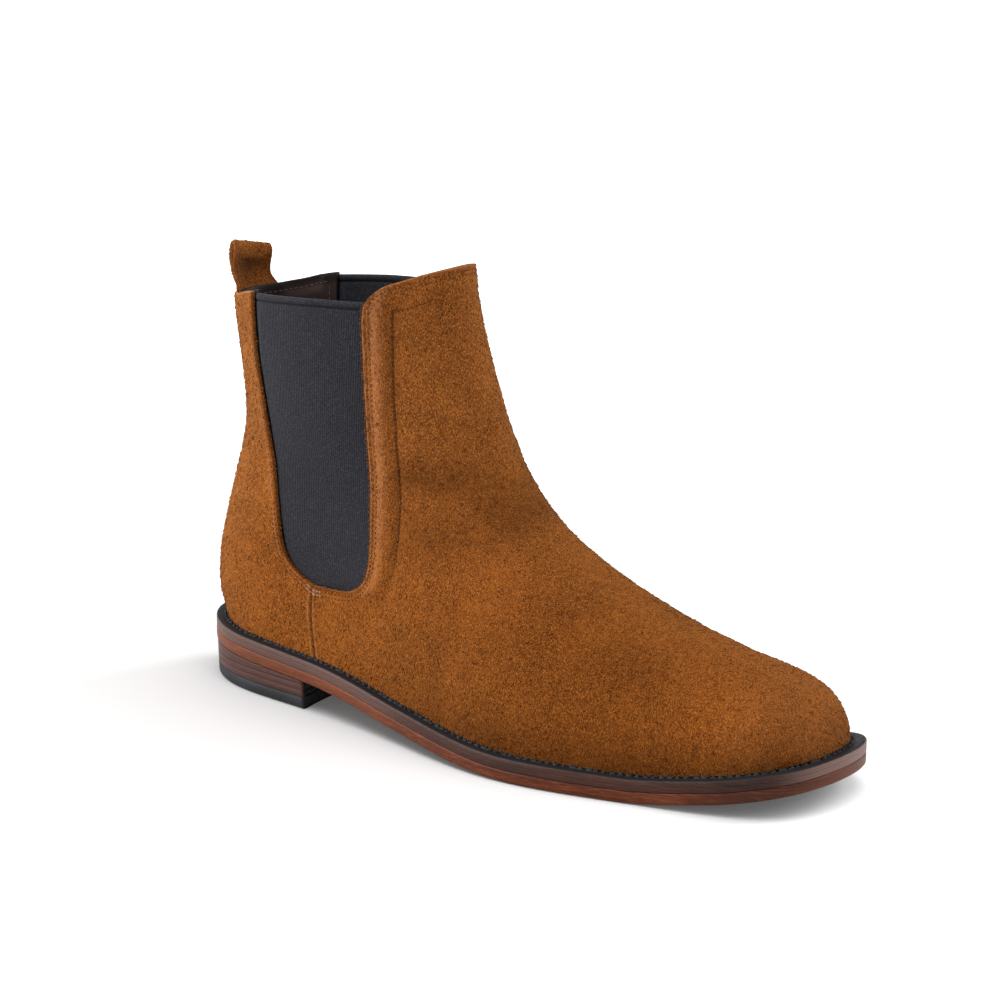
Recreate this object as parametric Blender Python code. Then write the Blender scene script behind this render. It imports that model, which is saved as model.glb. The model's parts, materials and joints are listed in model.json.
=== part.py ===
"""A right-foot chelsea boot in suede, on a welted leather sole with a low stacked heel.

Lengths are in millimetres and become metres when a mesh is made. A place on the boot is given as
x (medial is +), t (forward of the sole's back end) and z (above the floor). The world frame has its
origin on the floor under the middle of the heel, +Z up, the toe towards -Y and the medial side at +X.
"""

import math

import bmesh
import bpy
import numpy as np

MM = 0.001

# Driving dimensions.
SOLE_LENGTH = 305.0
HEEL_CENTRE = 36.0
HEEL_LENGTH = 72.0
SEAT_END = 78.0
BACK_HEIGHT = 160.3
FRONT_HEIGHT = 183.8

# Layers of the bottom, from the floor up. Neighbouring pieces keep LAYER_GAP between them.
LAYER_GAP = 0.15
OUTSOLE = 4.7
MIDSOLE = 2.3
WELT = 2.3
INSOLE = 2.4
SOCK = 1.2
TOP_PIECE = 5.0
LIFT = 2.5

# Layers of the upper, as depths under its outer face.
SUEDE = (0.0, 1.5)
BETWEEN = (1.85, 3.0)
LINING = (3.35, 4.35)

# Plan of the sole: the reach of each side at distances forward of the back end.
PLAN_T = (0, 9, 30, 61, 100, 140, 177, 214, 241, 265, 287, 300.5, SOLE_LENGTH)
LATERAL_REACH = (0, 18.9, 31.5, 36.4, 41.3, 50.1, 56.5, 52.8, 46, 40, 31.7, 18.5, -3.2)
MEDIAL_REACH = (0, 17.8, 31.3, 32.1, 30.3, 31.2, 38.1, 43.2, 43.6, 41.9, 38.5, 25, 3.2)
WELT_MARGIN = 4.9
TOE_MARGIN = 5.5
HEEL_TAPER = 0.6
BREAST_HOLLOW = 4.0

# Side view: underside of the outsole, back of the heel and shaft, ridge from toe tip to collar.
UNDERSIDE = ((0, 15), (SEAT_END, 11.2), (130, 5), (195, 0), (235, 0), (270, 3.8), (SOLE_LENGTH, 10.8))
BACK_LINE = ((24.5, 4.7), (33, 1.3), (42, 0.5), (60, 2.6), (85, 9.4), (112, 16), (140, 13.2), (172, 9.1))
RIDGE = (
    (299, 19.6), (297, 25.5), (293.4, 33), (288.5, 40.1), (278.5, 46.2), (258, 51.1), (229.4, 58.4),
    (198.3, 71.5), (169.6, 87.7), (149.3, 108.6), (138.4, 132.6), (130.8, 154.4), (126.6, 173.6),
    (125.8, 192),
)
SHAFT_HALF_WIDTH = ((60, 32.5), (90, 32), (120, 33.8), (145, 33.5), (165, 33), (192, 30.6))
FOOT_TO_SHAFT = (45.0, 115.0)
CENTRE_TO_SHAFT = (40.0, 110.0)
ROUNDING = 2.35
OVAL = 1.85

# Side view of the patterns.
SEAM_T = 74.0
SEAM_GAP = 0.3
GORE_LAP = 7.0
GORE_EDGE = (
    (37.6, 176), (37.8, 160), (39.4, 136.4), (45.4, 110.4), (50.5, 84.3), (53.6, 69), (57.6, 60.4), (64, 55.4),
    (74, 52.2), (85, 51.8), (94.5, 53.4), (101.5, 57.8), (105, 66), (104.7, 82), (102.1, 106.8), (99, 137.4),
    (96.7, 160), (96.4, 176),
)
GORE_TOP = ((34, 165.2), (70, 168.6), (108, 169.9))
COLLAR_BACK = ((-20, 158), (10, BACK_HEIGHT), (24, 162.8), (33, 165.4), (38, 166.6))
COLLAR_FRONT = (
    (96.8, 165), (97.4, 169.4), (99.8, 172.9), (103.8, 175.8), (108.2, 177.8), (116.9, 181), (126.4, FRONT_HEIGHT),
    (150, 191),
)
TOE_PUFF_T = 258.0
COUNTER = ((-20, 74), (20, 74), (44, 60), (62, 42.5), (66, 10), (-20, 10))

# Pull tab: a strip bent round the collar's back, sewn in between suede and lining, looped above.
TAB_WIDTH = 25.0
TAB_BEND = 22.0
TAB_TOP_BEND = 30.0
TAB_PLY = 1.3
TAB_PIVOT_Z = 163.6
TAB_PIVOT_AHEAD = 1.0
TAB_FOOT_RISE = 1.2
TAB_FOOT_BELOW_PIVOT = 0.7
TAB_TOP = 181.5
TAB_SEWN = ((-30, 148.2), (40, 148.2), (40, 160.2), (-30, 160.2))
# The loop's path: ahead of its seam, and share of its height.
TAB_LOOP = (
    (-0.75, 0), (-1.9, 0.3), (-2.2, 0.6), (-1.7, 0.88), (-0.2, 0.97), (1.3, 0.88), (0.9, 0.6), (0.8, 0.3),
    (0.85, 0),
)

# Fasteners.
NAIL_R = 1.1
BRAD_R = 0.8
BRAD_HEAD_R = 1.7
HOLE_CLEARANCE = 0.3
NAIL_PLACES = ((0, 17), (-15, 28), (15, 28), (-16, 50), (16, 50))
BRAD_PLACES = ((0, 10), (-22, 22), (22, 22), (-25, 45), (25, 45), (-24, 64), (22, 64))

# Mesh density.
AROUND = 48
ROWS = 19
TOE_CROWDING = 1.4
PLAN_POINTS = 72

COLOURS = {
    "suede": ((0.352, 0.120, 0.020), 0.95, 0.0),
    "elastic": ((0.030, 0.030, 0.040), 0.85, 0.0),
    "lining_leather": ((0.035, 0.020, 0.018), 0.6, 0.0),
    "welt_leather": ((0.014, 0.013, 0.015), 0.55, 0.0),
    "edge_leather": ((0.120, 0.066, 0.055), 0.45, 0.0),
    "sole_leather": ((0.230, 0.062, 0.028), 0.45, 0.0),
    "stack_leather": ((0.085, 0.042, 0.034), 0.5, 0.0),
    "rubber": ((0.012, 0.012, 0.013), 0.7, 0.0),
    "board": ((0.400, 0.270, 0.150), 0.9, 0.0),
    "cork": ((0.330, 0.190, 0.090), 0.95, 0.0),
    "thread": ((0.020, 0.019, 0.020), 0.7, 0.0),
    "steel": ((0.500, 0.500, 0.500), 0.35, 1.0),
}


# ---------------------------------------------------------------- curves

def smooth(points):
    """Natural cubic spline y(x) through (x, y) points."""
    xk, yk = (np.array(c, float) for c in zip(*points))
    n, h = len(xk), np.diff(xk)
    system, right = np.eye(n), np.zeros(n)
    for i in range(1, n - 1):
        system[i, i - 1:i + 2] = h[i - 1], 2 * (h[i - 1] + h[i]), h[i]
        right[i] = 6 * ((yk[i + 1] - yk[i]) / h[i] - (yk[i] - yk[i - 1]) / h[i - 1])
    bend = np.linalg.solve(system, right)

    def value(x):
        x = np.asarray(x, float)
        i = np.clip(np.searchsorted(xk, x) - 1, 0, n - 2)
        a, b, w = xk[i + 1] - x, x - xk[i], h[i]
        cubic = (bend[i] * a**3 + bend[i + 1] * b**3) / (6 * w)
        return cubic + (yk[i] / w - bend[i] * w / 6) * a + (yk[i + 1] / w - bend[i + 1] * w / 6) * b

    return value


def monotone(points):
    """Cubic y(x) through (x, y) points that never overshoots them."""
    xk, yk = (np.array(c, float) for c in zip(*points))
    h, rise = np.diff(xk), np.diff(yk) / np.diff(xk)
    slope = np.concatenate([rise[:1], np.zeros(len(xk) - 2), rise[-1:]])
    for i in range(1, len(xk) - 1):
        if rise[i - 1] * rise[i] > 0:
            w1, w2 = 2 * h[i] + h[i - 1], h[i] + 2 * h[i - 1]
            slope[i] = (w1 + w2) / (w1 / rise[i - 1] + w2 / rise[i])

    def value(x):
        x = np.clip(np.asarray(x, float), xk[0], xk[-1])
        i = np.clip(np.searchsorted(xk, x) - 1, 0, len(xk) - 2)
        s = (x - xk[i]) / h[i]
        start, end = 2 * s**3 - 3 * s**2 + 1, 3 * s**2 - 2 * s**3
        lean_in, lean_out = s**3 - 2 * s**2 + s, s**3 - s**2
        return start * yk[i] + end * yk[i + 1] + h[i] * (lean_in * slope[i] + lean_out * slope[i + 1])

    return value


def path(points, count, crowding=1.0):
    """count points on a smooth curve through (t, z) points, closer at its start if crowding is over 1."""
    p = np.array(points, float)
    along = np.concatenate([[0], np.cumsum(np.linalg.norm(np.diff(p, axis=0), axis=1))])
    first, second = smooth(list(zip(along, p[:, 0]))), smooth(list(zip(along, p[:, 1])))
    s = along[-1] * np.linspace(0, 1, count) ** crowding
    return np.stack([first(s), second(s)], -1)


def fade(value, start, end):
    """0 before start, 1 after end, smooth between."""
    s = np.clip((np.asarray(value, float) - start) / (end - start), 0, 1)
    return s * s * (3 - 2 * s)


# ---------------------------------------------------------------- shape of the sole

def turn(t):
    """The angle at which the plan's outline reaches distance t on its lateral side."""
    return np.arccos(1 - 2 * np.asarray(t, float) / SOLE_LENGTH)


lateral_reach = smooth(list(zip(turn(PLAN_T), LATERAL_REACH)))
medial_reach = smooth(list(zip(turn(PLAN_T), MEDIAL_REACH)))
underside = monotone(UNDERSIDE)


def plan(angles, inset=0.0):
    """(x, t) of the sole's outline moved in by inset: from the back, lateral side first, round the toe."""
    def edge(a):
        a = np.mod(a, 2 * math.pi)
        side = np.where(a <= math.pi, a, 2 * math.pi - a)
        x = np.where(a <= math.pi, -lateral_reach(side), medial_reach(side))
        return np.stack([x, SOLE_LENGTH * (1 - np.cos(a)) / 2], -1)

    angles = np.asarray(angles, float)
    tangent = edge(angles + 1e-3) - edge(angles - 1e-3)
    tangent /= np.linalg.norm(tangent, axis=-1, keepdims=True)
    inward = np.stack([tangent[..., 1], -tangent[..., 0]], -1)
    return edge(angles) + inward * np.asarray(inset, float)[..., None]


def welt_top(t):
    """Height of the welt's upper face."""
    return underside(t) + OUTSOLE + MIDSOLE + WELT + 2 * LAYER_GAP


def feather(angles, inset=0.0):
    """Where the upper meets the welt, moved inwards by inset."""
    toe = fade(SOLE_LENGTH * (1 - np.cos(angles)) / 2, 230, 300)
    return plan(angles, WELT_MARGIN + (TOE_MARGIN - WELT_MARGIN) * toe + inset)


# ---------------------------------------------------------------- shape of the upper

back_line = smooth(BACK_LINE)
shaft_half_width = monotone(SHAFT_HALF_WIDTH)
ridge_t, ridge_z = path(RIDGE, 400).T
_half_turns = np.linspace(0, math.pi, 200)
_feather_lateral = feather(_half_turns)
_feather_medial = feather(2 * math.pi - _half_turns)
FEATHER_BACK, FEATHER_TOE = _feather_lateral[0, 1], _feather_lateral[-1, 1]


def foot_edges(t):
    """Lateral and medial x of the feather line at distance t."""
    lateral = np.interp(t, _feather_lateral[:, 1], _feather_lateral[:, 0])
    medial = np.interp(t, _feather_medial[:, 1], _feather_medial[:, 0])
    return lateral, medial


def centre_and_half_width(t, z):
    """Middle and half width of the upper where the side view shows the place (t, z)."""
    behind, ahead = back_line(z), np.interp(z, ridge_z, ridge_t)
    stretch = np.clip((60 - t) / (60 - FEATHER_BACK), 0, 1)
    lateral, medial = foot_edges(t + (FEATHER_BACK - behind) * stretch)
    ridge = np.interp(t, ridge_t[::-1], ridge_z[::-1]) + 8 * np.maximum(ridge_t[-1] - t, 0)
    climb = np.clip((z - welt_top(t)) / np.maximum(ridge - welt_top(t), 1), 0, 1)
    foot = (medial - lateral) / 2 * np.sqrt(1 - climb**ROUNDING)

    across = np.abs(np.clip((t - behind) / (ahead - behind), 0, 1) * 2 - 1)
    shaft = shaft_half_width(z) * np.sqrt(1 - across**OVAL)

    share = fade(z, *FOOT_TO_SHAFT)
    middle = (medial + lateral) / 2 * (1 - fade(z, *CENTRE_TO_SHAFT))
    return middle, foot * (1 - share) + shaft * share


def side_view_grid():
    """(t, z) of the grid that covers the upper's side view: rows go up, columns from back to front."""
    across = (1 - np.cos(np.linspace(0, math.pi, AROUND // 2 + 1))) / 2
    up = np.linspace(0, 1, ROWS)
    bottom_t = FEATHER_BACK + across * (FEATHER_TOE - FEATHER_BACK)
    bottom = np.stack([bottom_t, welt_top(bottom_t) + LAYER_GAP], -1)
    back_z = bottom[0, 1] + up * (BACK_LINE[-1][0] - bottom[0, 1])
    back = np.stack([back_line(back_z), back_z], -1)
    back[0] = bottom[0]
    front = path(RIDGE, ROWS, TOE_CROWDING)
    front[0] = bottom[-1]
    s = across[None, :, None]
    v = up[:, None, None]
    sides = (1 - s) * back[:, None] + s * front[:, None]
    straight = (1 - s[0]) * bottom[0] + s[0] * bottom[-1]
    return sides + (1 - v) ** 1.5 * (bottom - straight)


def upper_surface():
    """Points of the upper's outer face, rows by columns round the boot, and their outward normals."""
    grid = side_view_grid()
    t, z = grid[..., 0], grid[..., 1]
    middle, half = centre_and_half_width(t, z)
    angles = np.arccos(1 - 2 * np.clip(t[0] / SOLE_LENGTH, 0, 1))
    half[:, [0, -1]] = 0
    lateral_0, medial_0 = foot_edges(t[0])
    middle[0], half[0] = (lateral_0 + medial_0) / 2, (medial_0 - lateral_0) / 2
    half[0, [0, -1]] = 0
    lateral = np.stack([middle - half, t, z], -1)
    medial = np.stack([middle + half, t, z], -1)[:, -2:0:-1]
    points = np.concatenate([lateral, medial], 1)
    along = np.roll(points, -1, 1) - np.roll(points, 1, 1)
    up = np.gradient(points, axis=0)
    normal = np.cross(up, along)
    normal[0, :, 2] = 0
    normal /= np.linalg.norm(normal, axis=-1, keepdims=True)
    outward = np.sign(np.sum(normal[ROWS // 2, AROUND // 4] * np.array([-1, 0, 0])))
    return points, normal * outward


# ---------------------------------------------------------------- making meshes

def to_world(points):
    """(x, t, z) in millimetres to the world frame in metres."""
    p = np.asarray(points, float)
    return np.stack([p[..., 0], HEEL_CENTRE - p[..., 1], p[..., 2]], -1) * MM


def material(name):
    """The named finish, made once."""
    found = bpy.data.materials.get(name)
    if found:
        return found
    colour, roughness, metallic = COLOURS[name]
    made = bpy.data.materials.new(name)
    made.use_nodes = True
    shader = made.node_tree.nodes["Principled BSDF"]
    shader.inputs["Base Color"].default_value = (*colour, 1)
    shader.inputs["Roughness"].default_value = roughness
    shader.inputs["Metallic"].default_value = metallic
    return made


def add_mesh(name, vertices, faces, finish=None, parent=None):
    """An object from (x, t, z) vertices and faces, with outward normals and smooth shading."""
    mesh = bpy.data.meshes.new(name)
    mesh.from_pydata([tuple(v) for v in to_world(vertices)], [], [tuple(map(int, f)) for f in faces])
    shape = bmesh.new()
    shape.from_mesh(mesh)
    bmesh.ops.recalc_face_normals(shape, faces=shape.faces)
    shape.to_mesh(mesh)
    shape.free()
    obj = bpy.data.objects.new(name, mesh)
    bpy.context.scene.collection.objects.link(obj)
    if finish:
        mesh.materials.append(material(finish))
        mesh.shade_smooth()
        mesh.set_sharp_from_angle(angle=math.radians(35))
    obj.parent = parent
    return obj


def as_cutter(obj):
    """Marks an object as a helper that only shapes others."""
    obj.hide_render = True
    obj.display_type = "WIRE"
    return obj


def cut(obj, cutter, operation):
    """Adds an exact Boolean."""
    modifier = obj.modifiers.new(operation.lower(), "BOOLEAN")
    modifier.operation = operation
    modifier.solver = "EXACT"
    modifier.object = cutter
    return obj


def band_faces(lower, upper):
    """Triangles between two closed rings of vertex numbers."""
    faces = []
    count = len(lower)
    for i in range(count):
        j = (i + 1) % count
        faces += [(lower[i], lower[j], upper[j]), (lower[i], upper[j], upper[i])]
    return faces


def shell(name, depths, finish, parent):
    """The whole upper as one tube between two depths under its outer face."""
    points, normal = upper_surface()
    outer, inner = points - normal * depths[0], points - normal * depths[1]
    size = points.shape[0] * points.shape[1]
    vertices = np.concatenate([outer.reshape(-1, 3), inner.reshape(-1, 3)])
    rings = np.arange(2 * size).reshape(2, ROWS, -1)
    faces = []
    for row in range(ROWS - 1):
        faces += band_faces(rings[0, row], rings[0, row + 1])
        faces += band_faces(rings[1, row], rings[1, row + 1])
    faces += band_faces(rings[0, 0], rings[1, 0]) + band_faces(rings[0, -1], rings[1, -1])
    return add_mesh(name, vertices, faces, finish, parent)


def pattern(name, outline, x_from=-90.0, x_to=90.0):
    """A cutter: a side-view outline of (t, z) points, extruded across the boot."""
    outline = np.asarray(outline, float)
    count = len(outline)
    vertices = [(x, t, z) for x in (x_from, x_to) for t, z in outline]
    faces = [tuple(range(count)), tuple(range(2 * count - 1, count - 1, -1))]
    faces += [(i, (i + 1) % count, count + (i + 1) % count, count + i) for i in range(count)]
    return as_cutter(add_mesh(name, vertices, faces))


def slab(name, lower, upper, finish, parent):
    """A closed piece between two rings of (x, t, z) points, capped across from side to side."""
    count = len(lower)
    vertices = np.concatenate([lower, upper])
    low, high = list(range(count)), list(range(count, 2 * count))
    faces = band_faces(low, high)
    for ring in (low, high):
        for i in range(count // 2):
            a, b = ring[i], ring[i + 1]
            c, d = ring[count - 1 - i], ring[count - 2 - i]
            faces += [f for f in ((a, b, c), (b, d, c)) if len(set(f)) == 3]
    return add_mesh(name, vertices, faces, finish, parent)


def with_height(plan_points, height):
    """(x, t) points lifted to height(t)."""
    z = height(plan_points[:, 1]) if callable(height) else np.full(len(plan_points), float(height))
    return np.column_stack([plan_points, z])


def rod(name, x, t, low, high, radius, finish=None, parent=None, sides=12):
    """A round upright bar."""
    angles = np.arange(sides) * 2 * math.pi / sides
    ring = np.stack([x + radius * np.cos(angles), t + radius * np.sin(angles)], -1)
    return slab(name, with_height(ring, low), with_height(ring, high), finish, parent)


def joined_cutter(name, cutters):
    """Several helper meshes as one, so that one Boolean cuts all of them."""
    mesh = bpy.data.meshes.new(name)
    shape = bmesh.new()
    for cutter in cutters:
        shape.from_mesh(cutter.data)
        bpy.data.objects.remove(cutter)
    shape.to_mesh(mesh)
    shape.free()
    obj = bpy.data.objects.new(name, mesh)
    bpy.context.scene.collection.objects.link(obj)
    return as_cutter(obj)


# ---------------------------------------------------------------- the bottom

ROUND = (np.arange(PLAN_POINTS) + 0.5) * 2 * math.pi / PLAN_POINTS


def plate(name, outline, base, thickness, finish, parent):
    """A sole layer that follows the underside's curve, base above it."""
    lower = with_height(outline, lambda t: underside(t) + base)
    upper = with_height(outline, lambda t: underside(t) + base + thickness)
    return slab(name, lower, upper, finish, parent)


def build_sole(parent):
    """Outsole, midsole and the welt ring with its seam thread."""
    base = 0.0
    outsole = plate("outsole", plan(ROUND), base, OUTSOLE, "sole_leather", parent)
    base += OUTSOLE + LAYER_GAP
    midsole = plate("midsole", plan(ROUND), base, MIDSOLE, "edge_leather", parent)
    base += MIDSOLE + LAYER_GAP
    rings = []
    for outline in (plan(ROUND), feather(ROUND, 6.0)):
        for height in (base, base + WELT):
            rings.append(with_height(outline, lambda t, h=height: underside(t) + h))
    vertices = np.concatenate(rings)
    out_low, out_high, in_low, in_high = np.arange(len(vertices)).reshape(4, -1)
    faces = band_faces(out_low, out_high) + band_faces(in_low, in_high)
    faces += band_faces(out_low, in_low) + band_faces(out_high, in_high)
    add_mesh("welt", vertices, faces, "edge_leather", parent)
    build_welt_thread(parent)
    return outsole, midsole


def build_welt_thread(parent):
    """The heavy seam thread that lies on the welt, close to the upper."""
    radius, sides, away = 0.55, 5, 1.7
    angles = np.arange(AROUND) * 2 * math.pi / AROUND
    middle = with_height(feather(angles, -away), lambda t: welt_top(t) + LAYER_GAP + radius)
    outward = plan(angles, -1.0) - plan(angles)
    rings = []
    for k in range(sides):
        a = 2 * math.pi * k / sides
        ring = middle.copy()
        ring[:, :2] += outward * radius * math.cos(a)
        ring[:, 2] += radius * math.sin(a)
        rings.append(ring)
    numbers = np.arange(sides * AROUND).reshape(sides, AROUND)
    faces = [f for k in range(sides) for f in band_faces(numbers[k], numbers[(k + 1) % sides])]
    add_mesh("welt_stitching", np.concatenate(rings), faces, "thread", parent)


def build_filling(parent):
    """What lies inside the welt ring and under the foot: cork, shank, insole and sock."""
    base = OUTSOLE + MIDSOLE + 2 * LAYER_GAP
    cork = plate("cork_filler", feather(ROUND, 6.5), base, WELT, "cork", parent)
    shank_t = np.linspace(52, 160, 14)
    half = 8.0

    def bar(grow, low, high):
        first, last = shank_t[0] - grow, shank_t[-1] + grow
        t = np.linspace(first, last, len(shank_t))
        centre = -4.0 * fade(t, 60, 140)
        outline = np.column_stack([
            np.concatenate([centre - half - grow, (centre + half + grow)[::-1]]),
            np.concatenate([t, t[::-1]]),
        ])
        return [with_height(outline, lambda t, h=h: underside(t) + base + h) for h in (low, high)]

    slab("shank", *bar(0.0, 0.0, WELT - 0.2), "steel", parent)
    cut(cork, as_cutter(slab("shank_slot", *bar(HOLE_CLEARANCE, -5.0, WELT + 5.0), None, None)), "DIFFERENCE")
    base += WELT + LAYER_GAP
    inside = LINING[1] + 1.4
    insole = plate("insole", feather(ROUND, inside), base, INSOLE, "board", parent)
    sock_base = base + INSOLE + LAYER_GAP
    plate("sock_liner", feather(ROUND, inside + 0.3), sock_base, SOCK, "lining_leather", parent)
    return cork, insole


def heel_outline(inset):
    """Plan of the heel: the sole's back part, closed by a breast that hollows towards the back."""
    end = turn(HEEL_LENGTH)
    half = PLAN_POINTS // 4
    lateral = plan(np.linspace(0, end, half + 1)[1:], inset)
    medial = plan(2 * math.pi - np.linspace(0, end, half + 1), inset)[::-1]
    side = np.concatenate([medial[:-1], plan(np.zeros(1), inset), lateral])
    first, last = side[-1], side[0]
    s = np.linspace(0, 1, 9)[1:-1, None]
    breast = first + (last - first) * s
    breast[:, 1] -= BREAST_HOLLOW * 4 * (s * (1 - s))[:, 0]
    return np.concatenate([side, breast])


def build_heel(parent):
    """The stacked heel: a tapered seat lift, two level lifts and the rubber top piece."""
    def level(z):
        return with_height(heel_outline(0.3 + HEEL_TAPER * (1 - z / UNDERSIDE[0][1])), z)

    def polygon(name, lower, upper, finish):
        count = len(lower)
        faces = [tuple(range(count)), tuple(range(2 * count - 1, count - 1, -1))]
        faces += band_faces(range(count), range(count, 2 * count))
        made = add_mesh(name, np.concatenate([lower, upper]), faces, finish, parent)
        return made

    z = 0.0
    pieces = {}
    for name, height, finish in (
        ("top_piece", TOP_PIECE, "rubber"),
        ("heel_lift_lower", LIFT, "stack_leather"),
        ("heel_lift_upper", LIFT, "stack_leather"),
    ):
        pieces[name] = polygon(name, level(z), level(z + height), finish)
        z += height + LAYER_GAP
    seat = with_height(heel_outline(0.3), lambda t: underside(t) - LAYER_GAP)
    pieces["heel_seat_lift"] = polygon("heel_seat_lift", level(z), seat, "stack_leather")
    return pieces


def build_fasteners(parent, cork, insole, outsole, midsole, heel):
    """Nails that hold the heel from inside the boot, and brads that hold the rubber top piece."""
    lift_base = TOP_PIECE + LAYER_GAP
    nail_low = lift_base + 0.6
    nail_holes, brad_holes = [], []
    for number, (x, t) in enumerate(NAIL_PLACES, 1):
        seat = float(underside(t))
        top = seat + OUTSOLE + MIDSOLE + WELT + INSOLE + 3 * LAYER_GAP - 0.3
        rod(f"heel_nail_{number}", x, t, nail_low, top, NAIL_R, "steel", parent)
        hole = rod(f"nail_hole_{number}", x, t, nail_low - 0.2, top + 6, NAIL_R + HOLE_CLEARANCE)
        nail_holes.append(hole)
    for number, (x, t) in enumerate(BRAD_PLACES, 1):
        head, high = 0.9, TOP_PIECE + LIFT - 0.5
        body = rod(f"top_piece_brad_{number}", x, t, 0.25 + head, high, BRAD_R, "steel", parent, sides=10)
        cap = as_cutter(rod(f"brad_head_{number}", x, t, 0.25, 0.3 + head, BRAD_HEAD_R, sides=10))
        cut(body, cap, "UNION")
        shaft = rod(f"brad_hole_{number}", x, t, -5, high + 0.4, BRAD_R + HOLE_CLEARANCE, sides=10)
        sink = rod(f"brad_sink_{number}", x, t, -5, 0.3 + head + 0.3, BRAD_HEAD_R + HOLE_CLEARANCE, sides=10)
        cut(shaft, sink, "UNION")
        brad_holes.append(evaluated_copy(shaft, (shaft, sink)))
    nails = joined_cutter("nail_holes", nail_holes)
    brads = joined_cutter("brad_holes", brad_holes)
    for piece in (cork, insole, outsole, midsole, heel["heel_seat_lift"], heel["heel_lift_upper"]):
        cut(piece, nails, "DIFFERENCE")
    cut(heel["heel_lift_lower"], nails, "DIFFERENCE")
    cut(heel["heel_lift_lower"], brads, "DIFFERENCE")
    cut(heel["top_piece"], brads, "DIFFERENCE")


def evaluated_copy(obj, sources):
    """The object's mesh with its modifiers applied, as a new helper, with the sources removed."""
    bpy.context.view_layer.update()
    graph = bpy.context.evaluated_depsgraph_get()
    mesh = bpy.data.meshes.new_from_object(obj.evaluated_get(graph))
    for source in sources:
        bpy.data.objects.remove(source)
    made = bpy.data.objects.new(mesh.name, mesh)
    bpy.context.scene.collection.objects.link(made)
    return made


# ---------------------------------------------------------------- the upper

def gore_outline(lap, count=44):
    """The U-shaped edge of the elastic's opening, moved outwards by lap."""
    line = path(GORE_EDGE, count)
    tangent = np.gradient(line, axis=0)
    tangent /= np.linalg.norm(tangent, axis=1, keepdims=True)
    return line + np.stack([tangent[:, 1], -tangent[:, 0]], -1) * lap


def front_outline():
    """Side view of the front panel: seam, gore edge, collar with its round corner, and all in front."""
    gore = gore_outline(0.0)
    start = int(np.argmax(gore[:, 0] > SEAM_T))
    corner = (SEAM_T, np.interp(SEAM_T, gore[start - 1:start + 1, 0], gore[start - 1:start + 1, 1]))
    rising = gore[start:]
    rising = rising[rising[:, 1] < COLLAR_FRONT[0][1] - 1]
    collar = path(COLLAR_FRONT, 14)
    return np.concatenate([[(SEAM_T, -20), corner], rising, collar, [(340, 190), (340, -20)]])


def back_outline():
    """Side view of the back panel: everything behind the seam and the gore, under the back collar."""
    gore = gore_outline(0.0)
    seam = SEAM_T - SEAM_GAP
    stop = int(np.argmax(gore[:, 0] > seam))
    bottom = np.interp(seam, gore[stop - 1:stop + 1, 0], gore[stop - 1:stop + 1, 1])
    falling = gore[:stop]
    falling = falling[falling[:, 1] < COLLAR_BACK[-1][1] - 1]
    return np.concatenate([[(-40, -20)], path(COLLAR_BACK, 10), falling, [(seam, bottom), (seam, -20)]])


def gore_piece_outline():
    """Side view of one elastic piece: the opening, its lap under the suede and its hemmed top."""
    line = gore_outline(GORE_LAP)
    top = np.interp(line[:, 0], *np.array(GORE_TOP, float).T)
    kept = line[line[:, 1] < top - 1]
    first, last = kept[0], kept[-1]
    ends = [(t, np.interp(t, *np.array(GORE_TOP, float).T)) for t in (last[0], first[0])]
    return np.concatenate([kept, ends])


def build_upper(parent):
    """Suede panels, elastic, stiffeners and lining, each cut from its own layer by its pattern."""
    front, back = pattern("front_pattern", front_outline()), pattern("back_pattern", back_outline())
    cut(shell("front_panel", SUEDE, "suede", parent), front, "INTERSECT")
    cut(shell("back_panel", SUEDE, "suede", parent), back, "INTERSECT")
    cut(shell("front_lining", LINING, "lining_leather", parent), front, "INTERSECT")
    cut(shell("back_lining", LINING, "lining_leather", parent), back, "INTERSECT")
    for side, reach in (("lateral", (-90, -4)), ("medial", (4, 90))):
        gore = pattern(f"gore_{side}_pattern", gore_piece_outline(), *reach)
        cut(shell(f"gore_{side}", BETWEEN, "elastic", parent), gore, "INTERSECT")
    puff = pattern("toe_puff_pattern", ((TOE_PUFF_T, -20), (TOE_PUFF_T, 150), (340, 150), (340, -20)))
    cut(shell("toe_puff", BETWEEN, "board", parent), puff, "INTERSECT")
    counter = pattern("counter_pattern", COUNTER)
    cut(shell("heel_counter", BETWEEN, "board", parent), counter, "INTERSECT")


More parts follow.
